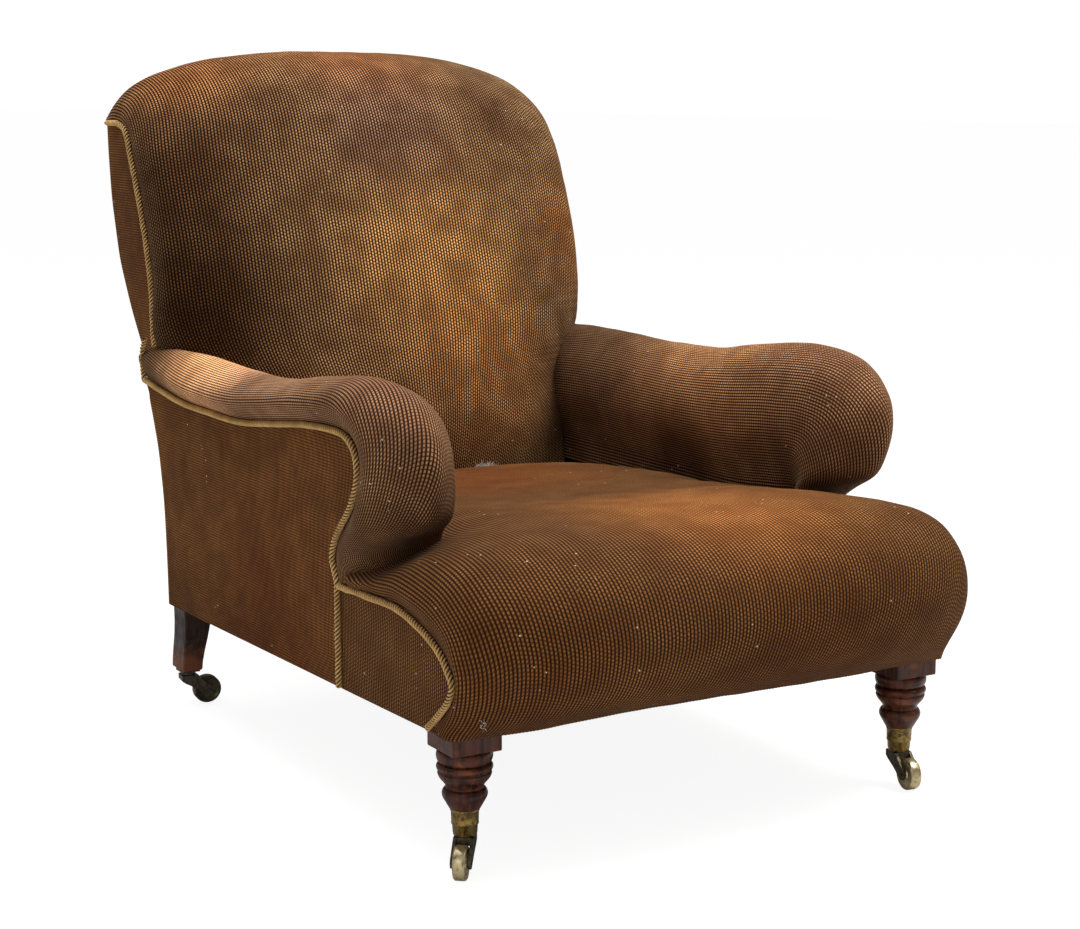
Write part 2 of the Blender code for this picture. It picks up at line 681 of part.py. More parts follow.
def lattice(name, xs, ys, straps_x, straps_y, surface, thickness, finish):
    """Crossing straps as one sheet: cells between edges, solid where a strap runs either way."""
    columns, rows = len(xs), len(ys)
    vertices = []
    for level in (0.0, thickness):
        for y in ys:
            for x in xs:
                vertices.append(surface(x, y, level))
    layer = columns * rows

    def index(i, j):
        return j * columns + i

    def solid(i, j):
        inside = 0 <= i < columns - 1 and 0 <= j < rows - 1
        return inside and (straps_x[i] or straps_y[j])

    faces = []
    for j in range(rows - 1):
        for i in range(columns - 1):
            if not solid(i, j):
                continue
            a, b, c, d = index(i, j), index(i + 1, j), index(i + 1, j + 1), index(i, j + 1)
            faces.append((a, d, c, b))
            faces.append((layer + a, layer + b, layer + c, layer + d))
            for other, (p, q) in ((solid(i, j - 1), (a, b)), (solid(i + 1, j), (b, c)),
                                  (solid(i, j + 1), (c, d)), (solid(i - 1, j), (d, a))):
                if not other:
                    faces.append((p, q, layer + q, layer + p))
    used = sorted({v for face in faces for v in face})
    renumber = {old: new for new, old in enumerate(used)}
    faces = [tuple(renumber[v] for v in face) for face in faces]
    return add_object(name, mesh_from(name, [vertices[v] for v in used], faces), finish)


def straps(low, high, width, count):
    """Edges of straps spread evenly from low to high, and whether each stretch is a strap."""
    edges, solid = [], []
    for start in np.linspace(low, high - width, count):
        edges += [float(start), float(start) + width]
        solid += [True, False]
    return edges, solid[:-1]


def add_seat_suspension():
    half = LEG_BLOCK / 2
    web_x = LEG_X - half - 0.0040
    xs, straps_x = straps(-web_x, web_x, SEAT_WEB_WIDTH, SEAT_WEB_COUNT)
    front, back = 0.0030 - half, POST_FRONT + RAIL_THICKNESS - 0.0040
    ys, straps_y = straps(half + 0.0300, POST_FRONT - 0.0300, SEAT_WEB_WIDTH, SEAT_WEB_COUNT)
    ys = [front] + ys + [back]
    straps_y = [False] + straps_y + [False]
    lattice("seat_webbing", xs, ys, straps_x, straps_y,
            lambda x, y, level: (x, y, rail_z(y) - GAP - WEB_THICKNESS + level), WEB_THICKNESS, JUTE)
    lattice("bottom_cloth", [-web_x, web_x], [front, back], [True], [True],
            lambda x, y, level: (x, y, rail_z(y) - 2 * GAP - WEB_THICKNESS - BOTTOM_CLOTH + level),
            BOTTOM_CLOTH, LINING)
    canvas_x = SEAT_SIDE - 0.0040
    lattice("spring_canvas", [-canvas_x, canvas_x], [half, SEAT_BACK - 0.0040], [True], [True],
            lambda x, y, level: (x, y, rail_z(y, DECK - RAIL_BOTTOM - CANVAS) + level), CANVAS, HESSIAN)


def add_springs():
    """Nine waisted coil springs standing on the webbing, three rows of three."""
    low = SPRING_WIRE + GAP
    high = DECK - RAIL_BOTTOM - CANVAS - SPRING_WIRE - GAP
    steps = SPRING_STEPS
    number = 0
    for row in (-1, 0, 1):
        for column in (-1, 0, 1):
            number += 1
            name = "seat_spring_%d" % number
            curve = bpy.data.curves.new(name, "CURVE")
            curve.dimensions = "3D"
            curve.bevel_depth = SPRING_WIRE
            curve.bevel_resolution = 0
            curve.use_fill_caps = True
            line = curve.splines.new("POLY")
            line.points.add(steps)
            for k in range(steps + 1):
                share = k / steps
                angle = math.tau * SPRING_TURNS * share
                waist = 0.5 - 0.5 * math.cos(math.tau * share)
                radius = SPRING_END_RADIUS + waist * (SPRING_WAIST_RADIUS - SPRING_END_RADIUS)
                x = column * SPRING_SPACING_X + radius * math.cos(angle)
                y = SPRING_CENTRE_Y + row * SPRING_SPACING_Y + radius * math.sin(angle)
                rise = min(1.0, max(0.0, (share - 0.10) / 0.80))
                line.points[k].co = (x, y, rail_z(y, low + rise * (high - low)), 1.0)
            add_object(name, curve, STEEL)


def back_strap_heights():
    low = STAY_BOTTOM + 0.0050
    high = CREST_BOTTOM + 0.0140
    return straps(low, high, BACK_WEB_WIDTH, BACK_WEB_COUNT)


def add_back_webbing():
    inner = POST_INNER - 0.0060
    outer = FRAME_SIDE - ARM_FRAME_WIDTH - 0.0020
    xs, straps_x = straps(-inner, inner, BACK_WEB_WIDTH, BACK_WEB_COUNT)
    xs = [-outer] + xs + [outer]
    straps_x = [False] + straps_x + [False]
    zs, straps_z = back_strap_heights()
    lattice("back_webbing", xs, zs, straps_x, straps_z,
            lambda x, z, level: (x, post_front(z) - GAP - level, z), WEB_THICKNESS, JUTE)


# Stuffed pieces

def body_rings(surface, tucks, both_sides):
    """Closed rings from the rows of a cover: each goes in at the seam and on to a tuck point."""
    last = len(tucks) - 1
    at = np.linspace(0, last, len(surface))
    tucks = np.array([[np.interp(t, range(last + 1), [p[k] for p in tucks]) for k in range(3)] for t in at])
    rings = []
    for row, tuck in zip(surface, tucks):
        outer = row[-1]
        turned_in = outer - (CLOTH + SEAM_GROW + GAP, 0.0, 0.0)
        ring = list(row) + [turned_in, tuck]
        if both_sides:
            ring += [tuck * (-1.0, 1.0, 1.0), turned_in * (-1.0, 1.0, 1.0)]
        else:
            ring.append(np.array((SEAT_SIDE + SOFT_GAP, tuck[1], tuck[2])))
        rings.append(ring)
    return rings


def grown_cutter(name, source_mesh, distance):
    """A cutter that is a piece's own shape, grown on all sides by its clearance."""
    mesh = source_mesh.copy()
    mesh.name = name
    mesh.materials.clear()
    work = bmesh.new()
    work.from_mesh(mesh)
    work.normal_update()
    moved = [v.co + distance * v.normal * v.calc_shell_factor() for v in work.verts]
    for vertex, place in zip(work.verts, moved):
        vertex.co = place
    work.to_mesh(mesh)
    work.free()
    made = add_object(name, mesh, None, base, cutters)
    hide_cutter(made)
    return made


def cut_clear(made, others, distance):
    """Cut a stuffed piece back from its neighbours."""
    for other in others:
        cutter = grown_cutter(made.name + "_off_" + other, bpy.data.objects[other].data, distance)
        add_boolean(made, cutter, "DIFFERENCE")


def box_cutter(made, name, low, high):
    cutter = add_object(name, box_mesh(name, low, high), None, base, cutters)
    hide_cutter(cutter)
    add_boolean(made, cutter, "DIFFERENCE")


def webbing_plane_cutter(name, reach, high, distance):
    """Everything behind the back webbing, up to a height."""
    web_zs = [z for z in back_strap_heights()[0] if z < high]
    zs = [rail_z(POST_FRONT, RAIL_HEIGHT) - 0.0300, 0.290] + web_zs + [high]
    front = [(post_front(z) - GAP - WEB_THICKNESS - distance, z) for z in zs]
    rings = []
    for x in (-reach, reach):
        rings.append([(x, y, z) for y, z in front] + [(x, BACK_REACH, zs[-1]), (x, BACK_REACH, zs[0])])
    count = len(rings[0])
    vertices = rings[0] + rings[1]
    faces = [tuple(range(count)), tuple(range(2 * count - 1, count - 1, -1))]
    faces += [(k, (k + 1) % count, count + (k + 1) % count, count + k) for k in range(count)]
    cutter = add_object(name, mesh_from(name, vertices, faces), None, base, cutters)
    hide_cutter(cutter)
    return cutter


def arm_outline():
    """Seam round the arm's outer face, from the back forward, round the nose and under it."""
    top = ARM_TOP
    nose = ARM_NOSE
    return [(ARM_BACK, top - 0.069), (0.700, top - 0.084), (0.600, top - 0.086), (0.500, top - 0.085),
            (0.400, top - 0.074), (0.300, top - 0.062), (nose + 0.163, top - 0.060), (nose + 0.130, top - 0.077),
            (nose + 0.122, top - 0.107), (nose + 0.141, top - 0.146), (nose + 0.186, top - 0.196)]


def arm_skin_net():
    """Control net of the arm roll's cover: rows along the roll, columns from the inside out."""
    inner = SIDE_PLANE - ARM_WIDTH
    low_x = SEAT_SIDE + SOFT_GAP
    xs = (SIDE_PLANE + SEAM_GROW, SIDE_PLANE + ARM_OVERHANG, SIDE_PLANE - 0.0235, inner + 0.016, inner, low_x)
    top, nose = ARM_TOP, ARM_NOSE
    grow = SEAM_GROW
    outline = arm_outline()
    rows = []
    for (y, z), drop in zip(outline[:6], (0.032, 0.027, 0.028, 0.030, 0.026, 0.012)):
        rows.append([(y, z + grow), (y, z + 0.028), (y, top - drop), (y, top - drop - 0.030),
                     (y, top - 0.112), (y, top - 0.182)])
    # nose rows: outer seam, outer swell, crest, inner shoulder, inner face, its foot
    rows.append([(outline[6][0], outline[6][1] + grow), (nose + 0.155, top - 0.025), (nose + 0.147, top),
                 (nose + 0.147, top - 0.029), (nose + 0.162, top - 0.088), (nose + 0.180, top - 0.130)])
    rows.append([(outline[7][0] - grow, outline[7][1] + grow), (nose + 0.092, top - 0.035),
                 (nose + 0.057, top - 0.015), (nose + 0.072, top - 0.037), (nose + 0.117, top - 0.092),
                 (nose + 0.152, top - 0.142)])
    rows.append([(outline[8][0] - grow, outline[8][1]), (nose + 0.062, top - 0.077), (nose, top - 0.070),
                 (nose + 0.040, top - 0.075), (nose + 0.097, top - 0.112), (nose + 0.135, top - 0.153)])
    rows.append([(outline[9][0] - grow, outline[9][1]), (nose + 0.084, top - 0.145), (nose + 0.020, top - 0.142),
                 (nose + 0.042, top - 0.138), (nose + 0.087, top - 0.148), (nose + 0.125, top - 0.162)])
    rows.append([(outline[10][0] - grow, outline[10][1] - grow), (nose + 0.135, top - 0.197),
                 (nose + 0.090, top - 0.180), (nose + 0.084, top - 0.172), (nose + 0.095, top - 0.169),
                 (nose + 0.120, top - 0.169)])
    return [[(x, y, z) for x, (y, z) in zip(xs, row)][::-1] for row in rows]


def arm_surface():
    return skin(arm_skin_net(), ARM_ALONG, ARM_ACROSS)


def arm_rings():
    tucks = []
    for y, _ in arm_outline()[:6]:
        tucks.append((FRAME_SIDE, y, rail_z(y, RAIL_HEIGHT) + 0.0030))
    for reach, drop in ((0.228, 0.212), (0.2285, 0.2145), (0.229, 0.217), (0.2295, 0.220), (0.224, 0.250)):
        tucks.append((FRAME_SIDE, ARM_NOSE + reach, ARM_TOP - drop))
    return body_rings(arm_surface(), tucks, False)


ARM_ALONG = 21
ARM_ACROSS = 11


def solid_mesh(name, rings):
    """Mesh of a closed solid through rings; each cell is split along its shorter diagonal."""
    count = len(rings[0])
    vertices = [Vector(point) for ring in rings for point in ring]
    faces = []
    for i in range(len(rings) - 1):
        for j in range(count):
            k = (j + 1) % count
            a, b, c, d = i * count + j, i * count + k, (i + 1) * count + k, (i + 1) * count + j
            if (vertices[a] - vertices[c]).length < (vertices[b] - vertices[d]).length:
                faces += [(a, b, c), (a, c, d)]
            else:
                faces += [(a, b, d), (b, c, d)]
    faces.append(tuple(range(count)))
    faces.append(tuple(range((len(rings) - 1) * count, len(rings) * count)))
    return mesh_from(name, vertices, faces)


def add_arms():
    """Arm rolls stuffed over the arm frame, hollow between the frame's members."""
    rings = arm_rings()
    hollow_front = ARM_POST_FRONT + ARM_POST_DEPTH
    for side, sign in (("right", 1), ("left", -1)):
        name = side + "_arm_upholstery"
        made = add_object(name, solid_mesh(name, [[p * (sign, 1.0, 1.0) for p in ring] for ring in rings]), COVER)
        cut_clear(made, [side + "_arm_rail", side + "_arm_post", side + "_back_post"], 2 * GAP)
        inner = sign * (FRAME_SIDE - ARM_FRAME_WIDTH)
        outer = sign * (SIDE_PLANE - 0.0010)
        box_cutter(made, name + "_hollow",
                   (min(inner, outer), hollow_front, rail_z(POST_FRONT, RAIL_HEIGHT) - 0.0100),
                   (max(inner, outer), SEAT_BACK, ARM_RAIL_TOP - ARM_RAIL_HEIGHT + 0.0010))
        low_x, high_x = SEAT_SIDE - 0.0600, SIDE_PLANE - 0.0430
        box_cutter(made, name + "_over_seat",
                   (min(sign * low_x, sign * high_x), -SEAT_NOSE, 0.0),
                   (max(sign * low_x, sign * high_x), SEAM_Y + 0.0330, ARM_TOP - 0.1900))
        add_boolean(made, webbing_plane_cutter(name + "_behind", SIDE_PLANE + 0.0010, 0.6000, SOFT_GAP),
                    "DIFFERENCE")
        smooth(made, 50.0)


def seat_row(us, ys, zs):
    """One rib of the seat's cover, from the left seam over to the right one."""
    left = [(-u, y, z) for u, y, z in zip(us, ys, zs)]
    right = [(u, y, z) for u, y, z in zip(us[:-1], ys[:-1], zs[:-1])]
    return left + right[::-1]


def seat_skin_net():
    top, nose = SEAT_TOP, -SEAT_NOSE
    side, sag = SEAT_SIDE, SEAT_SAG
    seam = SIDE_PLANE + SEAM_GROW
    flank = SIDE_PLANE + SEAT_FLANK
    rows = []

    def row(us, ys, zs):
        rows.append(seat_row(us, ys, zs))

    def edge(y):
        return rail_z(y, DECK - RAIL_BOTTOM) + 0.0060

    narrow = (side, side, side - 0.017, 0.18, 0.09, 0.0)
    y = SEAT_BACK
    row(narrow, (y,) * 6, (edge(y), top - sag - 0.045, top - sag - 0.028, top - sag - 0.021, top - sag - 0.019,
                           top - sag - 0.018))
    row(narrow, (0.570,) * 6, (edge(0.57), top - sag - 0.034, top - sag - 0.017, top - sag - 0.006,
                               top - sag - 0.004, top - sag - 0.004))
    row(narrow, (0.450,) * 6, (edge(0.45), top - sag - 0.028, top - sag - 0.007, top - sag + 0.004,
                               top - sag + 0.001, top - sag))
    row(narrow, (0.330,) * 6, (edge(0.33), top - 0.056, top - 0.036, top - 0.022, top - 0.024, top - 0.026))
    row((side, side, side - 0.016, 0.19, 0.10, 0.0), (0.240,) * 6,
        (edge(0.24), top - 0.060, top - 0.038, top - 0.015, top - 0.014, top - 0.016))
    row((seam, SIDE_PLANE + 0.001, 0.290, 0.205, 0.11, 0.0), (0.205, 0.205, 0.200, 0.190, 0.190, 0.190),
        (top - 0.079, top - 0.066, top - 0.050, top - 0.014, top - 0.009, top - 0.010))
    row((seam, SIDE_PLANE + 0.004, 0.298, 0.205, 0.11, 0.0), (0.150, 0.148, 0.145, 0.130, 0.130, 0.130),
        (top - 0.0765, top - 0.062, top - 0.048, top - 0.008, top - 0.003, top - 0.003))
    row((seam, flank, 0.303, 0.215, 0.11, 0.0), (0.082, 0.075, 0.060, 0.050, 0.050, 0.050),
        (top - 0.0752, top - 0.050, top - 0.021, top - 0.001, top, top))
    row((seam, flank, 0.304, 0.215, 0.11, 0.0), (0.022, -0.002, -0.030, -0.035, -0.036, -0.037),
        (top - 0.0872, top - 0.060, top - 0.022, top - 0.008, top - 0.006, top - 0.006))
    row((seam, flank, 0.305, 0.215, 0.11, 0.0),
        (nose + 0.108, nose + 0.081, nose + 0.048, nose + 0.030, nose + 0.024, nose + 0.023),
        (top - 0.1035, top - 0.078, top - 0.054, top - 0.042, top - 0.038, top - 0.037))
    row((seam, flank - 0.002, 0.303, 0.215, 0.11, 0.0),
        (nose + 0.0798, nose + 0.062, nose + 0.036, nose + 0.013, nose + 0.003, nose),
        (top - 0.132, top - 0.113, top - 0.098, top - 0.092, top - 0.090, top - 0.089))
    row((seam, flank - 0.005, 0.302, 0.215, 0.11, 0.0),
        (nose + 0.0865, nose + 0.068, nose + 0.047, nose + 0.026, nose + 0.018, nose + 0.016),
        (top - 0.155, top - 0.147, top - 0.143, top - 0.140, top - 0.139, top - 0.138))
    row((seam, flank - 0.007, 0.304, 0.215, 0.11, 0.0),
        (nose + 0.1115, nose + 0.088, nose + 0.065, nose + 0.053, nose + 0.050, nose + 0.048),
        (top - 0.1785, top - 0.177, top - 0.175, top - 0.174, top - 0.174, top - 0.174))
    hem = rail_z(0.0) - HEM
    front = -LEG_BLOCK / 2 - GAP - CLOTH
    row((seam, SIDE_PLANE + 0.001, 0.305, 0.215, 0.11, 0.0),
        (nose + 0.1365, nose + 0.095, front - 0.002, front - 0.002, front - 0.002, front - 0.002),
        (hem, hem, hem, hem - 0.001, hem, hem + 0.001))
    return rows


SEAT_ALONG = 25
SEAT_ACROSS = 15


def held_in(surface, half, columns):
    """Keep the outer columns of a cover on its side plane."""
    for column in columns:
        surface[:, column, 0] = np.clip(surface[:, column, 0], -half, half)
    return surface


def seat_surface():
    return held_in(skin(seat_skin_net(), SEAT_ALONG, SEAT_ACROSS), SIDE_PLANE + SEAM_GROW, (0, -1))


def add_seat():
    """Seat stuffing on the spring canvas, rolled over the front rail."""
    surface = seat_surface()
    border, front = SIDE_INNER - GAP, -LEG_BLOCK / 2 - GAP
    hem = rail_z(0.0) - HEM
    tucks = []
    for y in (SEAT_BACK, 0.570, 0.450, 0.330, 0.240):
        tucks.append((SEAT_SIDE - CLOTH, y, rail_z(y, DECK - RAIL_BOTTOM) + GAP))
    tucks += [(border, y, DECK + GAP) for y in (0.205, 0.150, 0.082, LEG_BLOCK / 2)]
    tucks += [(border, 0.7 * LEG_BLOCK / 2, hem + share * (DECK - hem)) for share in (0.80, 0.62, 0.46, 0.30)]
    tucks.append((border, LEG_BLOCK / 2, hem))
    made = add_object("seat_upholstery", solid_mesh("seat_upholstery", body_rings(surface, tucks, True)), COVER)
    within = border + GAP / 2
    box_cutter(made, "seat_frame_space", (-within, front, hem - 0.0100), (within, SEAM_Y + 0.0300, DECK + GAP))
    cut_clear(made, ["back_upholstery"], SOFT_GAP)
    smooth(made, 50.0)


def back_skin_net():
    """Control net of the back's cover: rows up the back, columns from the left seam to the right."""
    top, half = BACK_TOP, BACK_HALF + SEAM_GROW
    rows = []

    def row(us, ys, zs):
        rows.append(seat_row(us, ys, zs))

    low = SEAT_SIDE
    foot = DECK + 0.0100
    row((low, low, low - 0.012, 0.18, 0.09, 0.0), (0.722, 0.715, 0.705, 0.690, 0.680, 0.676), (foot,) * 6)
    z = top - 0.514
    row((low, low, low - 0.012, 0.18, 0.09, 0.0), (0.742, 0.732, 0.715, 0.678, 0.660, 0.655), (z,) * 6)
    z = top - 0.450
    row((low + 0.006, low + 0.006, low - 0.006, 0.19, 0.10, 0.0), (0.765, 0.752, 0.728, 0.688, 0.669, 0.665), (z,) * 6)
    z = top - 0.385
    row((half, half - 0.001, half - 0.026, 0.22, 0.11, 0.0), (0.803, 0.782, 0.750, 0.706, 0.687, 0.683),
        (z - 0.005, z, z, z, z, z))
    z = top - 0.300
    row((half, half - 0.001, half - 0.018, 0.22, 0.11, 0.0), (0.812, 0.791, 0.760, 0.728, 0.712, 0.708), (z,) * 6)
    z = top - 0.220
    row((half, half - 0.001, half - 0.020, 0.22, 0.11, 0.0), (0.836, 0.811, 0.778, 0.752, 0.740, 0.736), (z,) * 6)
    z = top - 0.145
    row((half, half - 0.001, half - 0.022, 0.22, 0.11, 0.0), (0.870, 0.842, 0.806, 0.780, 0.768, 0.764), (z,) * 6)
    row((half, half - 0.002, half - 0.028, 0.215, 0.11, 0.0), (0.891, 0.875, 0.843, 0.814, 0.802, 0.798),
        (top - 0.105, top - 0.096, top - 0.090, top - 0.083, top - 0.077, top - 0.075))
    row((half, half - 0.006, half - 0.036, 0.21, 0.11, 0.0), (0.918, 0.908, 0.888, 0.862, 0.850, 0.846),
        (top - 0.0938, top - 0.075, top - 0.055, top - 0.039, top - 0.029, top - 0.027))
    row((half, half - 0.008, half - 0.040, 0.21, 0.11, 0.0), (0.940, 0.936, 0.930, 0.925, 0.920, 0.918),
        (top - 0.0930, top - 0.068, top - 0.040, top - 0.017, top - 0.003, top))
    row((half, half - 0.008, half - 0.040, 0.21, 0.11, 0.0), (0.955, 0.960, 0.964, 0.967, 0.968, 0.968),
        (top - 0.0930, top - 0.072, top - 0.048, top - 0.026, top - 0.013, top - 0.010))
    row((half, half - 0.007, half - 0.038, 0.21, 0.11, 0.0),
        (rear_line(top - 0.094) + 0.001, BACK_REACH - 0.003, BACK_REACH, BACK_REACH, BACK_REACH, BACK_REACH),
        (top - 0.0930, top - 0.088, top - 0.070, top - 0.052, top - 0.042, top - 0.040))
    return rows


BACK_ALONG = 21
BACK_ACROSS = 15


def back_surface():
    return held_in(skin(back_skin_net(), BACK_ALONG, BACK_ACROSS), BACK_HALF + SEAM_GROW, (0, 1, -2, -1))


def add_back():
    """Back stuffing in front of the webbing, rolled over the crest rail and the posts' tops."""
    surface = back_surface()
    low, wide = SEAT_SIDE - CLOTH, BACK_INNER - GAP
    tucks = [(low, post_front(DECK + 0.012), DECK + 0.0120)]
    tucks += [(low, post_front(z), z) for z in (0.360, 0.424)]
    tucks += [(wide, post_front(z), z) for z in (0.485, 0.574, 0.654, 0.720, 0.765)]
    for y, drop in ((0.934, 0.0950), (0.946, 0.0948), (0.958, 0.0946), (rear_line(BACK_TOP) - 0.0035, 0.0944)):
        tucks.append((wide, y, BACK_TOP - drop))
    made = add_object("back_upholstery", solid_mesh("back_upholstery", body_rings(surface, tucks, True)), COVER)
    add_boolean(made, webbing_plane_cutter("back_behind", SIDE_PLANE + 0.0200, CREST_BOTTOM + 0.0160, GAP),
                "DIFFERENCE")
    cut_clear(made, ["crest_rail", "left_back_post", "right_back_post"], 2 * GAP)
    cut_clear(made, ["left_arm_upholstery", "right_arm_upholstery"], SOFT_GAP)
    smooth(made, 50.0)


# Flat covers and cords

def seam_line(surface, half):
    """The seam of a cover with the side cover it meets: depth and height of its edge points."""
    return np.array([row[-1][1:] for row in surface if row[-1][0] > half])


def side_panel(name, outline, inner, outer, finish=COVER):
    """A cover panel on both sides of the chair: an outline in YZ between two X planes."""
    for side, sign in (("left", -1), ("right", 1)):
        vertices = [(sign * inner, y, z) for y, z in outline] + [(sign * outer, y, z) for y, z in outline]
        count = len(outline)
        faces = [tuple(range(count)), tuple(range(2 * count - 1, count - 1, -1))]
        faces += [(k, (k + 1) % count, count + (k + 1) % count, count + k) for k in range(count)]
        add_object(side + "_" + name, mesh_from(name, vertices, faces), finish)


def inset(route, distance):
    """A route moved sideways, to its left as it runs."""
    route = np.asarray(route, float)
    ahead = np.gradient(route, axis=0)
    ahead /= np.linalg.norm(ahead, axis=1)[:, None]
    return route + distance * np.c_[-ahead[:, 1], ahead[:, 0]]


def add_side_covers():
    rear_low = rail_z(0.76) - HEM
    arm = [tuple(p) for p in inset(seam_line(arm_surface(), SIDE_PLANE), PANEL_INSET)]
    arm[0] = (post_rear(arm[0][1]), arm[0][1])
    outline = arm + [(SEAM_Y + SEAM_GROW, SEAT_TOP - 0.0800), (SEAM_Y + SEAM_GROW, rail_z(SEAM_Y) - HEM)]
    outline += [(post_rear(rear_low), rear_low)]
    outline += [(post_rear(z), z) for z in levels(rear_low, arm[0][1])[1:-1]]
    side_panel("outside_arm", outline, SIDE_INNER, SIDE_PLANE)

    seam = [tuple(p) for p in inset(seam_line(seat_surface(), SIDE_PLANE), PANEL_INSET)]
    rear = SEAM_Y - SEAM_GROW
    seam = [p for p in seam if p[0] < rear - SEAT_WIDENING]
    side_panel("seat_border", [(rear, rail_z(rear) - HEM), (rear, seam[0][1] - SEAT_BORDER_DROP)] + seam, SIDE_INNER, SIDE_PLANE)

    seam = [tuple(p) for p in inset(seam_line(back_surface(), BACK_HALF)[::-1], PANEL_INSET)]
    low, high = seam[-1][1] - 0.0200, seam[0][1]
    outline = [(post_rear(high), high)] + seam[1:] + [(seam[-1][0] + 0.0120, low), (post_rear(low), low)]
    outline += [(post_rear(z), z) for z in levels(low, high)[1:-1]]
    side_panel("back_side_cover", outline, BACK_INNER, BACK_HALF)


def add_outside_back():
    """Cloth over the rear of the frame, from below the top roll down to the back rail."""
    low = rail_z(0.76) - HEM
    high = BACK_TOP - 0.0960
    rings = []
    for z in levels(low, high):
        share = min(1.0, max(0.0, (z - ARM_RAIL_TOP) / 0.0600))
        reach = SIDE_PLANE + share * (BACK_HALF - SIDE_PLANE)
        front = post_rear(z) + GAP
        rings.append([(-reach, front, z), (reach, front, z), (reach, front + CLOTH, z), (-reach, front + CLOTH, z)])
    ring_loft("outside_back", rings, COVER)


def add_cord(name, route, x):
    """A round cord sewn along a seam of the side covers, on both sides of the chair."""
    route = np.asarray(route, float)
    for side, sign in (("left", -1), ("right", 1)):
        curve = bpy.data.curves.new(side + "_" + name, "CURVE")
        curve.dimensions = "3D"
        curve.bevel_depth = CORD_RADIUS
        curve.bevel_resolution = 1
        curve.use_fill_caps = True
        line = curve.splines.new("POLY")
        line.points.add(len(route) - 1)
        for point, (y, z) in zip(line.points, route):
            point.co = (sign * x, y, z, 1.0)
        add_object(side + "_" + name, curve, CORD)


def add_cords():
    lift = CORD_RADIUS + GAP
    aside = CORD_RADIUS + CORD_INSET
    arm = inset(seam_line(arm_surface(), SIDE_PLANE), aside)
    foot = rail_z(SEAM_Y) - HEM + 0.0010
    upright = [(SEAM_Y, z) for z in np.linspace(SEAT_TOP - 0.0780, foot, 4)]
    add_cord("arm_cord", list(arm) + upright, SIDE_PLANE + lift)
    seat = inset(seam_line(seat_surface(), SIDE_PLANE), aside)
    start = SEAM_Y - 2 * CORD_RADIUS - 2 * GAP
    add_cord("seat_cord", [p for p in seat if p[0] < start], SIDE_PLANE + lift)
    back = inset(seam_line(back_surface(), BACK_HALF)[::-1], aside)
    add_cord("back_cord", back[1:], BACK_HALF + lift)


add_front_castor("left", -LEG_X, FRONT_LEFT_TRAIL)
add_front_castor("right", LEG_X, FRONT_RIGHT_TRAIL)
add_back_castor("left", -BACK_CASTOR_X, BACK_LEFT_TRAIL)
add_back_castor("right", BACK_CASTOR_X, BACK_RIGHT_TRAIL)
add_front_leg("left", -LEG_X)
add_front_leg("right", LEG_X)
add_back_posts()
add_seat_rails()
add_back_rails()
add_arm_frame()
add_seat_suspension()
add_springs()
add_back_webbing()
add_arms()
add_back()
add_seat()
add_side_covers()
add_outside_back()
add_cords()
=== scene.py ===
"""Looks of the old easy chair: worn ribbed wool, rope cord, turned legs and castors on a white floor."""

import json
import math

import bpy
import numpy as np
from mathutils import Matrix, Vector
from mathutils.geometry import delaunay_2d_cdt


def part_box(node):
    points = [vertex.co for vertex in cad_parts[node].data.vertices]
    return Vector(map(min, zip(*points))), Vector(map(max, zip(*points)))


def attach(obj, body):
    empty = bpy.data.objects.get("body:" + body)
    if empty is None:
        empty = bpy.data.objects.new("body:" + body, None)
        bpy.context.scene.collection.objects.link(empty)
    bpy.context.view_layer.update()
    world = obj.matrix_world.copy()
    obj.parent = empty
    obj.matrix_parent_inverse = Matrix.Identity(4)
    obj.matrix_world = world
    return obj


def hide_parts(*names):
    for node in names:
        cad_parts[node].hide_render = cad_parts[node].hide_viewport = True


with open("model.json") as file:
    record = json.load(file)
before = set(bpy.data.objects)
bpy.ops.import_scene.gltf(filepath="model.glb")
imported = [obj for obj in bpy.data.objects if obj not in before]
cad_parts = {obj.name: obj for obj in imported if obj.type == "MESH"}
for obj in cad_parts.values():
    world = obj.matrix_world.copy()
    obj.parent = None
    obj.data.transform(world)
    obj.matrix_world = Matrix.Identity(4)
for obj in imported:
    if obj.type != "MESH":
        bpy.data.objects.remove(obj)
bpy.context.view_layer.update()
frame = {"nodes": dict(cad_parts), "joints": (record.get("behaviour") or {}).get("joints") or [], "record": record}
nodes = frame["nodes"]
joints = {joint["name"]: joint for joint in frame["joints"]}

# Sizes shared with the part, in metres; depth is measured from the front legs' axes
SIDE_PLANE = 0.3311      # half width over the flat side covers
BACK_HALF = 0.3205       # half width of the back over its side covers
SEAM_GROW = 0.0006       # of a stuffed cover past its seam
SOFT_GAP = 0.0015        # between two stuffed pieces that press on each other
CORD_RADIUS = 0.0033
LEG_X = 0.2970           # of the front legs' axes
LEG_BLOCK = 0.0590       # side of a front leg's square block
RAIL_BOTTOM = 0.1612
RAIL_FALL = 0.0225       # drop of the rails towards the back, per metre
HEM = 0.0032             # the covers hang this far below the rails
DECK = 0.2575            # top of the canvas over the springs
CLOTH = 0.0040           # a cover with its wadding
AXLE_Z = 0.018881        # also the radius of the wheels
SEAT_TOP = 0.3560        # highest part of the seat, over its front roll
SEAT_NOSE = 0.1260       # front of the seat roll, ahead of the front legs
SEAT_SAG = 0.0330        # how far the seat sinks towards the back
SEAT_SIDE = 0.2620       # half width of the seat between the arms
SEAT_BACK = 0.6650
SEAT_FLANK = 0.0085      # how far the seat roll swells past the side covers
SEAM_Y = 0.2285          # upright seam between arm cover and seat border
ARM_TOP = 0.5120
ARM_WIDTH = 0.0855       # from the side cover in to the arm's inner face
ARM_OVERHANG = 0.0220    # how far the arm roll swells past the side cover
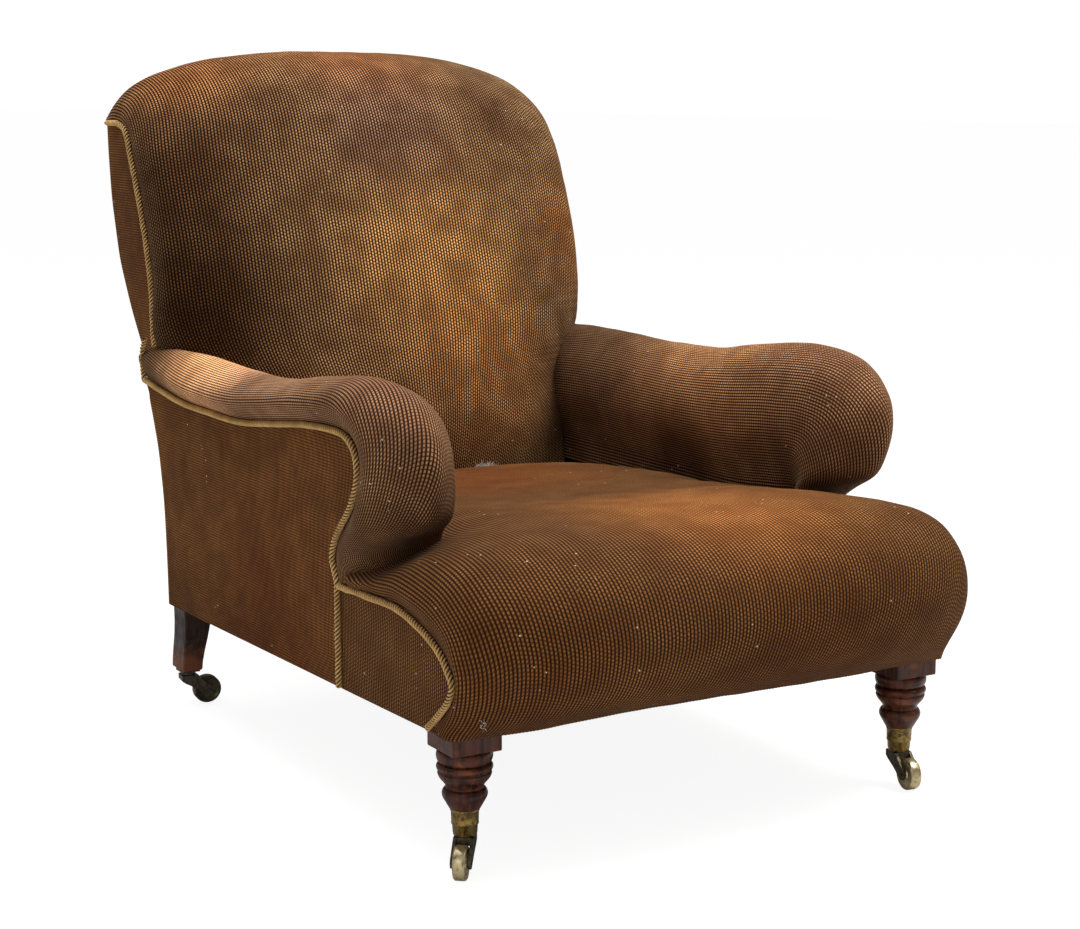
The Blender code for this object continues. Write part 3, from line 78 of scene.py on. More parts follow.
ARM_NOSE = 0.0480        # foremost point of the arm rolls
ARM_BACK = 0.8300
BACK_TOP = 0.8740
BACK_REACH = 0.9850      # rearmost point of the back's top roll
MIDDLE_Y = (BACK_REACH - SEAT_NOSE) / 2
REAR_OUTLINE = [         # of the outside back: height, depth
    (0.141, 0.7640), (0.210, 0.7660), (0.282, 0.7710), (0.348, 0.7850), (0.412, 0.8120),
    (0.470, 0.8560), (0.527, 0.9010), (0.591, 0.9400), (0.672, 0.9640), (0.740, 0.9720), (0.820, 0.9750),
]

# Cloth and cord, in metres
RIB_PITCH = 0.0043       # of the stuffed covers
RIB_RELIEF = 0.00055
RIB_POINTS = 6           # mesh columns in one rib
DASH_PITCH = 0.0047      # light dashes along a rib
PANEL_PITCH = 0.0034     # of the finer weave on the flat covers
PANEL_GRID = 0.0034      # between the mesh points of a flat cover
PANEL_INSET = 0.0008     # from the seam to a flat cover's edge
LINING_PITCH = 0.0012
TUCK = 0.0045            # cloth turned in at a seam
REAR_INSET = CLOTH + SEAM_GROW
REAR_CLEARANCE = 0.0060  # between an arm's cloth and the outside back
CORD_INSET = 0.0042      # from the seam to the middle of a cord
CORD_OUT = CORD_RADIUS + 0.0003
ROPE_STEP = 0.0013       # between the mesh rings of a strand
ROPE_TURN = 0.0150       # length of one full turn of the strands
STRAND_RADIUS = 0.00190
STRAND_OFFSET = 0.00220  # from the middle of the cord to the middle of a strand
FIBRE_WIDTH = 0.00032    # half the width of a fibre where it starts
FIBRE_SEED = 7
LINT = (0.720, 0.600, 0.460)

SIDES = (("left", -1.0), ("right", 1.0))
SCREW_FACES = (-0.62, -0.78, 0.0)
BOX_FACES = [(3, 2, 1, 0), (4, 5, 6, 7), (0, 1, 5, 4), (1, 2, 6, 5), (2, 3, 7, 6), (3, 0, 4, 7)]


# Surfaces

def spline(points, at):
    """Smooth values at parameters 0 to len(points) - 1 through rows of points."""
    points = np.asarray(points, float)
    last = len(points) - 1
    at = np.clip(np.asarray(at, float), 0, last)
    cell = np.minimum(at.astype(int), last - 1)
    share = (at - cell).reshape((-1,) + (1,) * (points.ndim - 1))
    before = points[np.maximum(cell - 1, 0)]
    here = points[cell]
    there = points[cell + 1]
    after = points[np.minimum(cell + 2, last)]
    shape = share.shape
    before = np.where((cell == 0).reshape(shape), 2 * here - there, before)
    after = np.where((cell == last - 1).reshape(shape), 2 * there - here, after)
    return 0.5 * (2 * here + (there - before) * share
                  + (2 * before - 5 * here + 4 * there - after) * share ** 2
                  + (3 * here - before - 3 * there + after) * share ** 3)


def skin(net, along, across):
    """A grid of points through a control net."""
    net = np.asarray(net, float)
    rows = spline(net, np.linspace(0, len(net) - 1, along))
    columns = spline(rows.transpose(1, 0, 2), np.linspace(0, net.shape[1] - 1, across))
    return columns.transpose(1, 0, 2)


def rail_z(y, height=0.0):
    return RAIL_BOTTOM + height - RAIL_FALL * y


def rear_line(z):
    return np.interp(z, [h for h, _ in REAR_OUTLINE], [d for _, d in REAR_OUTLINE])


def arm_outline():
    """Seam round the arm's outer face, from the back forward, round the nose and under it."""
    straight = [(ARM_BACK, 0.069), (0.7, 0.084), (0.6, 0.086), (0.5, 0.085), (0.4, 0.074),
                (0.3, 0.062)]
    curved = [(0.163, 0.06), (0.13, 0.077), (0.122, 0.107), (0.141, 0.146), (0.186, 0.196)]
    return ([(y, ARM_TOP - drop) for y, drop in straight]
            + [(ARM_NOSE + behind, ARM_TOP - drop) for behind, drop in curved])


def arm_net():
    """Control net of an arm roll: rows along the roll, columns from the inside out."""
    inner = SIDE_PLANE - ARM_WIDTH
    xs = (SIDE_PLANE + SEAM_GROW, SIDE_PLANE + ARM_OVERHANG, SIDE_PLANE - 0.0235, inner + 0.016, inner,
          SEAT_SIDE + SOFT_GAP)
    top, nose, grow = ARM_TOP, ARM_NOSE, SEAM_GROW
    outline = arm_outline()
    rows = []
    for (y, z), drop in zip(outline[:6], (0.032, 0.027, 0.028, 0.03, 0.026, 0.012)):
        rows.append([(y, z + grow), (y, z + 0.028), (y, top - drop), (y, top - drop - 0.03),
                     (y, top - 0.112), (y, top - 0.182)])
    # round the nose: the step from the seam, then how far behind the nose and below the top
    rounding = [
        ((0, grow), (0.155, 0.025), (0.147, 0), (0.147, 0.029), (0.158, 0.095), (0.178, 0.176)),
        ((-grow, grow), (0.092, 0.035), (0.057, 0.015), (0.072, 0.037), (0.11, 0.098), (0.148, 0.173)),
        ((-grow, 0), (0.062, 0.077), (0, 0.07), (0.04, 0.075), (0.088, 0.116), (0.132, 0.171)),
        ((-grow, 0), (0.084, 0.145), (0.02, 0.142), (0.042, 0.138), (0.082, 0.15), (0.123, 0.171)),
        ((-grow, -grow), (0.135, 0.197), (0.09, 0.18), (0.084, 0.172), (0.095, 0.169), (0.12, 0.173)),
    ]
    for (y, z), ((back, up), *others) in zip(outline[6:], rounding):
        rows.append([(y + back, z + up)] + [(nose + behind, top - drop) for behind, drop in others])
    # under the nose the cloth closes down on the seat, to where the cords meet
    closing = ((0.165, 0.078), (0.125, 0.061), (0.108, 0.045), (0.104, 0.042), (0.125, 0.04))
    rows.append([(SEAM_Y, SEAT_TOP - 0.079)]
                + [(nose + behind, SEAT_TOP - drop) for behind, drop in closing])
    swells = (0.25, 0.75) + (1.0,) * 8 + (0.6, 0.05)
    net = []
    for row, swell in zip(rows, swells):
        across = (xs[0], SIDE_PLANE + swell * ARM_OVERHANG) + xs[2:]
        net.append([(x, y, z) for x, (y, z) in zip(across, row)][::-1])
    return net


def whole_row(us, ys, zs):
    """One row of a cover, from the left seam over to the right one."""
    left = [(-u, y, z) for u, y, z in zip(us, ys, zs)]
    right = [(u, y, z) for u, y, z in zip(us[:-1], ys[:-1], zs[:-1])]
    return left + right[::-1]


def below(height, *drops):
    """Heights that lie so far below a given one."""
    return tuple(height - drop for drop in drops)


def seat_net():
    """Control net of the seat: rows from under the back forward, over the nose and down to the hem."""
    top, sunk, side = SEAT_TOP, SEAT_TOP - SEAT_SAG, SEAT_SIDE
    flank = SIDE_PLANE + SEAT_FLANK
    hem = rail_z(0.0) - HEM
    front = -LEG_BLOCK / 2 - 0.0003 - CLOTH

    def deck(y):
        return (rail_z(y, DECK - RAIL_BOTTOM) + 0.006,)

    def wide(outer, shoulder, inner=0.215):
        return SIDE_PLANE + SEAM_GROW, outer, shoulder, inner, 0.11, 0.0

    def behind(*steps):
        return tuple(-SEAT_NOSE + step for step in steps)

    narrow = (side, side, side - 0.017, 0.18, 0.09, 0.0)
    rows = [
        (narrow, (SEAT_BACK,) * 6, deck(SEAT_BACK) + below(sunk, 0.045, 0.028, 0.021, 0.019, 0.018)),
        (narrow, (0.57,) * 6, deck(0.57) + below(sunk, 0.034, 0.017, 0.006, 0.004, 0.004)),
        (narrow, (0.45,) * 6, deck(0.45) + below(sunk, 0.028, 0.007, -0.004, -0.001, 0)),
        (narrow, (0.33,) * 6, deck(0.33) + below(top, 0.056, 0.036, 0.022, 0.024, 0.026)),
        ((side, side, side - 0.016, 0.19, 0.1, 0.0), (0.24,) * 6,
         deck(0.24) + below(top, 0.06, 0.038, 0.015, 0.014, 0.016)),
        (wide(SIDE_PLANE + 0.001, 0.29, 0.205), (0.205, 0.205, 0.2, 0.19, 0.19, 0.19),
         below(top, 0.079, 0.066, 0.05, 0.014, 0.009, 0.01)),
        (wide(SIDE_PLANE + 0.004, 0.298, 0.205), (0.15, 0.148, 0.145, 0.13, 0.13, 0.13),
         below(top, 0.0765, 0.062, 0.048, 0.008, 0.003, 0.003)),
        (wide(flank, 0.303), (0.082, 0.075, 0.06, 0.05, 0.05, 0.05),
         below(top, 0.0752, 0.05, 0.021, 0.001, 0, 0)),
        (wide(flank, 0.304), (0.022, -0.002, -0.03, -0.035, -0.036, -0.037),
         below(top, 0.0872, 0.06, 0.022, 0.008, 0.006, 0.006)),
        (wide(flank, 0.305), behind(0.108, 0.081, 0.048, 0.03, 0.024, 0.023),
         below(top, 0.1035, 0.078, 0.054, 0.042, 0.038, 0.037)),
        (wide(flank - 0.002, 0.303), behind(0.0798, 0.062, 0.036, 0.013, 0.003, 0),
         below(top, 0.132, 0.113, 0.098, 0.092, 0.09, 0.089)),
        (wide(flank - 0.005, 0.302), behind(0.0865, 0.068, 0.047, 0.026, 0.018, 0.016),
         below(top, 0.155, 0.147, 0.143, 0.14, 0.139, 0.138)),
        (wide(flank - 0.007, 0.304), behind(0.1115, 0.088, 0.065, 0.053, 0.05, 0.048),
         below(top, 0.1785, 0.177, 0.175, 0.174, 0.174, 0.174)),
        (wide(SIDE_PLANE + 0.001, 0.305), behind(0.1365, 0.095) + (front - 0.002,) * 4,
         (hem, hem, hem, hem - 0.001, hem, hem + 0.001)),
    ]
    return [whole_row(*row) for row in rows]


def back_net():
    """Control net of the back: rows up the inside, over the top roll and down to the outside back."""
    top, low = BACK_TOP, SEAT_SIDE
    end = rear_line(top - 0.094) + 0.001

    def wide(first, second, inner=0.21):
        half = BACK_HALF + SEAM_GROW
        return half, half - first, half - second, inner, 0.11, 0.0

    narrow = (low, low, low - 0.012, 0.18, 0.09, 0.0)
    rows = [
        (narrow, (0.722, 0.715, 0.705, 0.69, 0.68, 0.676), (DECK + 0.01,) * 6),
        (narrow, (0.742, 0.732, 0.715, 0.678, 0.66, 0.655), (top - 0.514,) * 6),
        ((low + 0.006, low + 0.006, low - 0.006, 0.19, 0.1, 0.0), (0.765, 0.752, 0.728, 0.688, 0.669, 0.665),
         (top - 0.45,) * 6),
        (wide(0.001, 0.026, 0.22), (0.803, 0.782, 0.75, 0.706, 0.687, 0.683),
         (top - 0.39,) + (top - 0.385,) * 5),
        (wide(0.001, 0.018, 0.22), (0.812, 0.791, 0.76, 0.728, 0.712, 0.708), (top - 0.3,) * 6),
        (wide(0.001, 0.02, 0.22), (0.836, 0.811, 0.778, 0.752, 0.74, 0.736), (top - 0.22,) * 6),
        (wide(0.001, 0.022, 0.22), (0.87, 0.842, 0.806, 0.78, 0.768, 0.764), (top - 0.145,) * 6),
        (wide(0.002, 0.028, 0.215), (0.891, 0.875, 0.843, 0.814, 0.802, 0.798),
         below(top, 0.105, 0.096, 0.09, 0.083, 0.077, 0.075)),
        (wide(0.006, 0.036), (0.918, 0.908, 0.888, 0.862, 0.85, 0.846),
         below(top, 0.0938, 0.075, 0.055, 0.039, 0.029, 0.027)),
        (wide(0.008, 0.04), (0.94, 0.936, 0.93, 0.925, 0.92, 0.918),
         below(top, 0.093, 0.068, 0.04, 0.017, 0.003, 0)),
        (wide(0.008, 0.04), (0.955, 0.96, 0.964, 0.967, 0.968, 0.968),
         below(top, 0.093, 0.072, 0.048, 0.026, 0.013, 0.01)),
        (wide(0.007, 0.038), (end, BACK_REACH - 0.003) + (BACK_REACH,) * 4,
         below(top, 0.093, 0.088, 0.07, 0.052, 0.042, 0.04)),
        (wide(0.002, 0.03), (end,) * 6, (top - 0.097,) * 6),
    ]
    return [whole_row(*row) for row in rows]


def ripple(points, wave, seed):
    """Smooth noise at points, mostly within -1 and 1, with features about one wave long."""
    random = np.random.default_rng(seed)
    total = np.zeros(points.shape[:-1])
    for _ in range(9):
        direction = random.normal(size=3)
        direction /= np.linalg.norm(direction)
        total += np.sin(points @ (direction * 2 * math.pi / (wave * random.uniform(0.7, 1.6)))
                        + random.uniform(0, 2 * math.pi))
    return total / 4.5


def normals_of(grid):
    """Unit normals of a grid of points, away from its middle, and whether they had to be turned for that."""
    normal = np.cross(np.gradient(grid, axis=0), np.gradient(grid, axis=1))
    normal /= np.maximum(np.linalg.norm(normal, axis=2, keepdims=True), 1e-12)
    outward = np.sum(normal * (grid - grid.mean(axis=(0, 1))), axis=2).mean() > 0
    return (normal, False) if outward else (-normal, True)


def even_columns(net, along, count):
    """A fine grid over a net with evenly spaced columns, and the length of each of its rows."""
    fine = skin(net, along, 48 * len(net[0]) + 1)
    grid = np.empty((along, count, 3))
    total = np.empty(along)
    for k, row in enumerate(fine):
        way = np.r_[0, np.cumsum(np.linalg.norm(np.diff(row, axis=0), axis=1))]
        at = np.linspace(0, way[-1], count)
        total[k] = way[-1]
        for axis in range(3):
            grid[k, :, axis] = np.interp(at, way, row[:, axis])
    return grid, total


def smoothed(values, passes):
    """Values averaged with their neighbours a number of times."""
    for _ in range(passes):
        values = np.convolve(np.r_[values[0], values, values[-1]], (0.25, 0.5, 0.25), "valid")
    return values


def smooth_mesh(name, vertices, faces, uvs=None):
    """A smooth mesh, with its weave coordinates at each corner of each face."""
    mesh = bpy.data.meshes.new(name)
    mesh.from_pydata(vertices, [], faces)
    if uvs is not None:
        layer = mesh.uv_layers.new(name="weave")
        layer.data.foreach_set("uv", np.asarray(uvs, np.float32).ravel())
    mesh.polygons.foreach_set("use_smooth", np.ones(len(mesh.polygons), bool))
    return mesh


def grid_mesh(name, grid, uv, flip):
    rows, columns = grid.shape[:2]
    index = np.arange(rows * columns).reshape(rows, columns)
    corners = [index[:-1, :-1], index[:-1, 1:], index[1:, 1:], index[1:, :-1]]
    faces = np.stack(corners if not flip else corners[::-1], axis=-1).reshape(-1, 4)
    return smooth_mesh(name, grid.reshape(-1, 3).tolist(), faces.tolist(), uv.reshape(-1, 2)[faces.ravel()])


def tube_faces(rings, sides, first=0):
    """Faces between rings of vertices, counted from a first vertex."""
    return [(a + k, a + (k + 1) % sides, a + sides + (k + 1) % sides, a + sides + k)
            for a in range(first, first + (rings - 1) * sides, sides) for k in range(sides)]


def add_object(name, data):
    made = bpy.data.objects.new(name, data)
    bpy.context.scene.collection.objects.link(made)
    return made


def add_piece(name, mesh, look, node=None, body="chair"):
    """One visible piece that rides on a body; it replaces a CAD node where one is named."""
    made = add_object(name, mesh)
    mesh.materials.append(look)
    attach(made, body)
    if node is not None:
        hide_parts(node)
    return made


def stuffed_cover(name, net, ribs, along, look, sign=1.0, slack=0.0012, hem_row=None, turned=(True, True),
                  foot=0.0, passes=0):
    """A ribbed cover over one stuffed piece, with its own creases; it replaces that CAD piece.

    turned says which side edges are tucked in, foot how far an arm's inner edge is let down, and passes how
    far along the cover its number of ribs is evened out.
    """
    grid, total = even_columns(net, along, ribs * RIB_POINTS + 1)
    grid[:, :, 0] *= sign
    grid[:, :, 1] -= MIDDLE_Y
    normal, flip = normals_of(grid)
    # u counts ribs and v counts dashes, as the wool's look reads them
    share = (total / smoothed(total, passes))[:, None]
    u = ribs / 2 + np.linspace(-ribs / 2, ribs / 2, grid.shape[1])[None] * share
    step = np.linalg.norm(np.diff(grid, axis=0), axis=2)
    v = np.r_[np.zeros((1, grid.shape[1])), np.cumsum(step, axis=0)] / DASH_PITCH
    # creases fade out towards the side seams
    free = np.clip(np.minimum(u[:1], ribs - u[:1]).clip(0) * RIB_PITCH / 0.03, 0, 1)
    relief = RIB_RELIEF * np.abs(np.sin(math.pi * u)) ** 0.6 * (0.85 + 0.3 * ripple(grid, 0.05, 11))
    lift = relief + free * slack * (ripple(grid, 0.16, 3) + 0.35 * ripple(grid, 0.045, 5))
    cloth = np.dstack([grid + normal * lift[:, :, None], u, v])
    if foot:
        # an arm's cloth is closed at its rear end and stays in front of the outside back
        rim = cloth[:1] + (0.0, 0.003, 0.0, 0.0, -2.5)
        cap = cloth[:1] - (0.0, 0.0, 0.0, 0.0, 20.0)
        cap[:, :, :3] = rim[:, :, :3].mean(axis=1, keepdims=True)
        cloth = np.concatenate([cap, rim, cloth], axis=0)
        cloth = np.concatenate([cloth[:, :1] - (0.0, 0.0, foot, foot / RIB_PITCH, 0.0), cloth], axis=1)
        cloth[:, :, 1] = np.minimum(cloth[:, :, 1], rear_line(cloth[:, :, 2]) - MIDDLE_Y - REAR_CLEARANCE)
    if hem_row is not None:
        cloth = np.concatenate([cloth, cloth[-1:] + (*hem_row, 0.0, 1.5)], axis=0)
    for wanted, column, rib in zip(turned, (0, -1), (-1.0, 1.0)):
        if wanted:
            inward = cloth[:, [column]] + (0.0, 0.0, 0.0, rib, 0.0)
            inward[:, :, 0] -= np.sign(inward[:, :, 0]) * TUCK
            cloth = np.concatenate([inward, cloth] if column == 0 else [cloth, inward], axis=1)
    grid = cloth[:, :, :3]
    mesh = grid_mesh(name, grid, cloth[:, :, 3:], flip)
    made = add_piece(name + "_cover", mesh, look, name)
    return grid


# Flat covers

def inset(route, distance):
    """A route moved sideways, to its left as it runs."""
    route = np.asarray(route, float)
    ahead = np.gradient(route, axis=0)
    ahead /= np.linalg.norm(ahead, axis=1)[:, None]
    return route + distance * np.c_[-ahead[:, 1], ahead[:, 0]]


def seam_of(net, half):
    """Depth and height along the outer edge of a cover, where it meets the side cover."""
    return np.array([row[-1][1:] for row in skin(net, 161, 11) if row[-1][0] > half])


def inside(points, outline):
    """Which points lie inside an outline, and each one's distance from it."""
    start, end = outline, np.roll(outline, -1, axis=0)
    x, y = points[:, None, 0], points[:, None, 1]
    crossing = (start[:, 1] > y) != (end[:, 1] > y)
    rise = np.where(np.abs(end[:, 1] - start[:, 1]) < 1e-12, 1e-12, end[:, 1] - start[:, 1])
    at = start[:, 0] + (y - start[:, 1]) * (end[:, 0] - start[:, 0]) / rise
    within = (crossing & (x < at)).sum(axis=1) % 2 == 1
    side = end - start
    share = ((points[:, None] - start) * side).sum(axis=2) / np.maximum((side ** 2).sum(axis=1), 1e-12)
    nearest = start + np.clip(share, 0, 1)[:, :, None] * side
    return within, np.linalg.norm(points[:, None] - nearest, axis=2).min(axis=1)


def panel(node, outline, x, look, bulge, pitch=PANEL_PITCH):
    """A flat cover stretched inside its outline: a fine mesh that stands out a little in the middle."""
    outline = np.asarray(outline, float)
    low, high = outline.min(axis=0), outline.max(axis=0)
    ys = np.arange(low[0], high[0], PANEL_GRID)
    zs = np.arange(low[1], high[1], PANEL_GRID)
    points = np.array([(y + 0.5 * PANEL_GRID * (k % 2), z) for k, z in enumerate(zs) for y in ys])
    within, distance = inside(points, outline)
    flat = np.r_[outline, points[within & (distance > 0.45 * PANEL_GRID)]]
    found, _, faces = delaunay_2d_cdt([Vector(p) for p in flat], [], [list(range(len(outline)))], 1, 1e-7)[:3]
    flat = np.array([tuple(p) for p in found])
    _, distance = inside(flat, outline)
    place = np.c_[np.full(len(flat), x), flat[:, 0] - MIDDLE_Y, flat[:, 1]]
    rise = np.clip(distance / 0.045, 0, 1)
    rise = rise * rise * (3 - 2 * rise)
    # the hem hangs a little unevenly
    hanging = np.clip((rail_z(flat[:, 0]) + 0.012 - flat[:, 1]) / 0.015, 0, 1)
    place[:, 2] += hanging * (0.0008 * ripple(place, 0.06, 25) - 0.0004)
    slack = bulge + 0.0009 * ripple(place, 0.13, 21) + 0.0003 * ripple(place, 0.035, 23)
    place[:, 0] += math.copysign(1, x) * rise * slack
    mesh = smooth_mesh(node, place.tolist(), faces, flat[np.concatenate(faces)] / pitch)
    made = add_piece(node + "_cover", mesh, look, node)


def rope(node, route, x, look, strands=3, sides=6):
    """A twisted cord along a route in the chair's side plane."""
    route = np.asarray(route, float)
    way = np.r_[0, np.cumsum(np.linalg.norm(np.diff(route, axis=0), axis=1))]
    at = np.arange(0, way[-1], ROPE_STEP)
    ys, zs = (np.interp(at, way, route[:, axis]) for axis in (0, 1))
    path = np.c_[np.full(len(at), x), ys - MIDDLE_Y, zs]
    path[:, 0] += 0.0004 * ripple(path, 0.03, 31)
    ahead = np.gradient(path, axis=0)
    ahead /= np.linalg.norm(ahead, axis=1)[:, None]
    out = np.tile((math.copysign(1.0, x), 0.0, 0.0), (len(path), 1))
    aside = np.cross(ahead, out)
    angles = [2 * math.pi * side / sides for side in range(sides)]
    # the first weave coordinate carries painted light: 1 on a strand's outside, 0 where the strands meet
    painted_strand_light = [0.5 + 0.5 * math.cos(angle) for angle in angles]
    vertices, faces, uvs = [], [], []
    for strand in range(strands):
        turn = 2 * math.pi * (at / ROPE_TURN + strand / strands)
        radial = np.cos(turn)[:, None] * out + np.sin(turn)[:, None] * aside
        other = np.cross(ahead, radial)
        faces += tube_faces(len(path), sides, len(vertices))
        for k in range(len(path)):
            for angle in angles:
                offset = STRAND_RADIUS * (math.cos(angle) * radial[k] + math.sin(angle) * other[k])
                vertices.append(tuple(path[k] + STRAND_OFFSET * radial[k] + offset))
        for k in range(len(path) - 1):
            for side in range(sides):
                near, far = painted_strand_light[side], painted_strand_light[(side + 1) % sides]
                uvs += [(near, at[k]), (far, at[k]), (far, at[k + 1]), (near, at[k + 1])]
    add_piece(node + "_twist", smooth_mesh(node, vertices, faces, uvs), look, node)


# Loose fibres

def joint_of(lower, upper, x):
    """The foremost place near a given x where two covers touch."""
    near = []
    for grid in (lower, upper):
        points = grid.reshape(-1, 3)
        near.append(points[np.abs(points[:, 0] - x) < 0.0025])
    apart = np.linalg.norm(near[0][:, None] - near[1][None], axis=2).min(axis=1)
    touching = near[0][apart < apart.min() + 0.004]
    return touching[np.argmin(touching[:, 1])]


def nearest(grid, place):
    """The point of a cover's grid that is nearest to a place."""
    points = grid.reshape(-1, 3)
    return points[np.argmin(np.linalg.norm(points - place, axis=1))]


def tuft(name, place, spread, count, long, look, seed):
    """Fine curled fibres that stand out of a joint or a worn place."""
    rng = np.random.default_rng(seed)
    vertices, faces = [], []
    for _ in range(count):
        start = place + rng.normal(0, 1, 3) * spread
        heading = rng.normal(0, 1, 3) + (0.0, -0.9, 0.5)
        heading /= np.linalg.norm(heading)
        curl = rng.normal(0, 1, 3) * 1.3
        across = np.cross(heading, rng.normal(0, 1, 3))
        across *= FIBRE_WIDTH / np.linalg.norm(across)
        size = long * rng.uniform(0.5, 1.0)
        base = len(vertices)
        for t in np.linspace(0, 1, 7):
            at = start + size * (heading * t + curl * (t * t - t))
            vertices += [tuple(at - across * (1 - 0.7 * t)), tuple(at + across * (1 - 0.7 * t))]
        faces += [(base + 2 * k, base + 2 * k + 1, base + 2 * k + 3, base + 2 * k + 2) for k in range(6)]
    mesh = bpy.data.meshes.new(name)
    mesh.from_pydata(vertices, [], faces)
    add_piece(name, mesh, look)


# Hard pieces

def lathe(name, profile, sides, place, axis=(0.0, 0.0, 1.0)):
    """A turned mesh: profile points are radius and distance along the axis."""
    turn = Vector(axis).to_track_quat("Z", "Y").to_matrix()
    vertices = []
    for radius, height in profile:
        for k in range(sides):
            angle = 2 * math.pi * k / sides
            point = turn @ Vector((radius * math.cos(angle), radius * math.sin(angle), height))
            vertices.append(tuple(point + Vector(place)))
    last = (len(profile) - 1) * sides
    ends = [tuple(range(sides))[::-1], tuple(range(last, last + sides))]
    return smooth_mesh(name, vertices, tube_faces(len(profile), sides) + ends)


def keep_edges(made, angle):
    """Smooth shading except across edges sharper than an angle."""
    made.data.set_sharp_from_angle(angle=math.radians(angle))


def bevelled(made, width):
    bevel = made.modifiers.new("edges", "BEVEL")
    bevel.width = width
    bevel.segments = 3
    return bevel


def rounded(node, look, body, width):
    """The CAD piece with its edges rounded, in place of the sharp one."""
    mesh = nodes[node].data.copy()
    mesh.materials.clear()
    made = add_piece(node + "_rounded", mesh, look, node, body)
    bevel = bevelled(made, width)
    bevel.limit_method = "ANGLE"
    bevel.angle_limit = math.radians(32)
    mesh.polygons.foreach_set("use_smooth", np.ones(len(mesh.polygons), bool))
    keep_edges(made, 40.0)


# Materials

class Look:
    """A procedural material: adds and joins the nodes of one shader tree."""

    def __init__(self, name, roughness=0.6, metallic=0.0):
        self.material = bpy.data.materials.new(name)
        self.material.use_nodes = True
        self.tree = self.material.node_tree
        self.tree.nodes.clear()
        self.bsdf = self.add("BsdfPrincipled")
        self.surface = self.add("OutputMaterial").inputs["Surface"]
        self.join(self.bsdf.outputs[0], self.surface)
        self.set("Roughness", roughness)
        self.set("Metallic", metallic)
        self.place = self.add("TexCoord").outputs["Object"]

    def add(self, kind, *inputs, **values):
        """A shader node with its settings and the values of its first inputs."""
        made = self.tree.nodes.new("ShaderNode" + kind)
        for key, value in values.items():
            setattr(made, key, value)
        for value, socket in zip(inputs, made.inputs):
            self.join(value, socket)
        return made

    def join(self, value, socket):
        if isinstance(value, bpy.types.NodeSocket):
            self.tree.links.new(value, socket)
        elif isinstance(value, tuple) and len(value) == 3 and socket.type == "RGBA":
            socket.default_value = value + (1.0,)
        else:
            socket.default_value = value

    def set(self, name, value):
        self.join(value, self.bsdf.inputs[name])

    def math(self, operation, a, b=0.0):
        return self.add("Math", a, b, operation=operation).outputs[0]

    def times(self, a, b):
        return self.math("MULTIPLY", a, b)

    def from_middle(self, value):
        """0 in the middle of each whole step of a value and 1 at its ends."""
        return self.times(self.math("ABSOLUTE", self.math("SUBTRACT", self.math("FRACT", value), 0.5)), 2.0)

    def parts(self, vector):
        """The x, y and z of a vector."""
        return self.add("SeparateXYZ", vector).outputs[:3]

    def weave(self):
        """The two weave coordinates of a cover or cord."""
        return self.parts(self.add("UVMap", uv_map="weave").outputs[0])[:2]

    def ramp(self, value, low, high, to_low=0.0, to_high=1.0):
        """Smooth step of a value from one range to another."""
        made = self.add("MapRange", value, low, high, to_low, to_high, interpolation_type="SMOOTHSTEP")
        return made.outputs[0]

    def mix(self, share, a, b, blend="MIX"):
        made = self.add("Mix", data_type="RGBA", blend_type=blend)
        self.join(share, made.inputs[0])
        self.join(a, made.inputs[6])
        self.join(b, made.inputs[7])
        return made.outputs[2]

    def tinted(self, colour, tint, share=1.0):
        """A colour multiplied by a tint, wherever the share is 1."""
        full = self.mix(1.0, colour, tint, "MULTIPLY")
        return full if share == 1.0 else self.mix(share, colour, full)

    def noise(self, scale, detail, stretch=None):
        made = self.add("TexNoise")
        place = self.place
        if stretch is not None:
            mapping = self.add("Mapping")
            self.join(place, mapping.inputs["Vector"])
            self.join(stretch, mapping.inputs["Scale"])
            place = mapping.outputs[0]
        self.join(place, made.inputs["Vector"])
        self.join(scale, made.inputs["Scale"])
        self.join(detail, made.inputs["Detail"])
        return made.outputs[0]

    def near(self, centre, radius):
        """1 at a place on the chair, falling softly to 0 at a radius."""
        made = self.add("VectorMath", self.place, centre, operation="DISTANCE")
        return self.ramp(made.outputs["Value"], radius, 0.15 * radius)

    def bump(self, height, strength, distance):
        made = self.add("Bump")
        self.join(height, made.inputs["Height"])
        self.join(strength, made.inputs["Strength"])
        self.join(distance, made.inputs["Distance"])
        self.set("Normal", made.outputs[0])
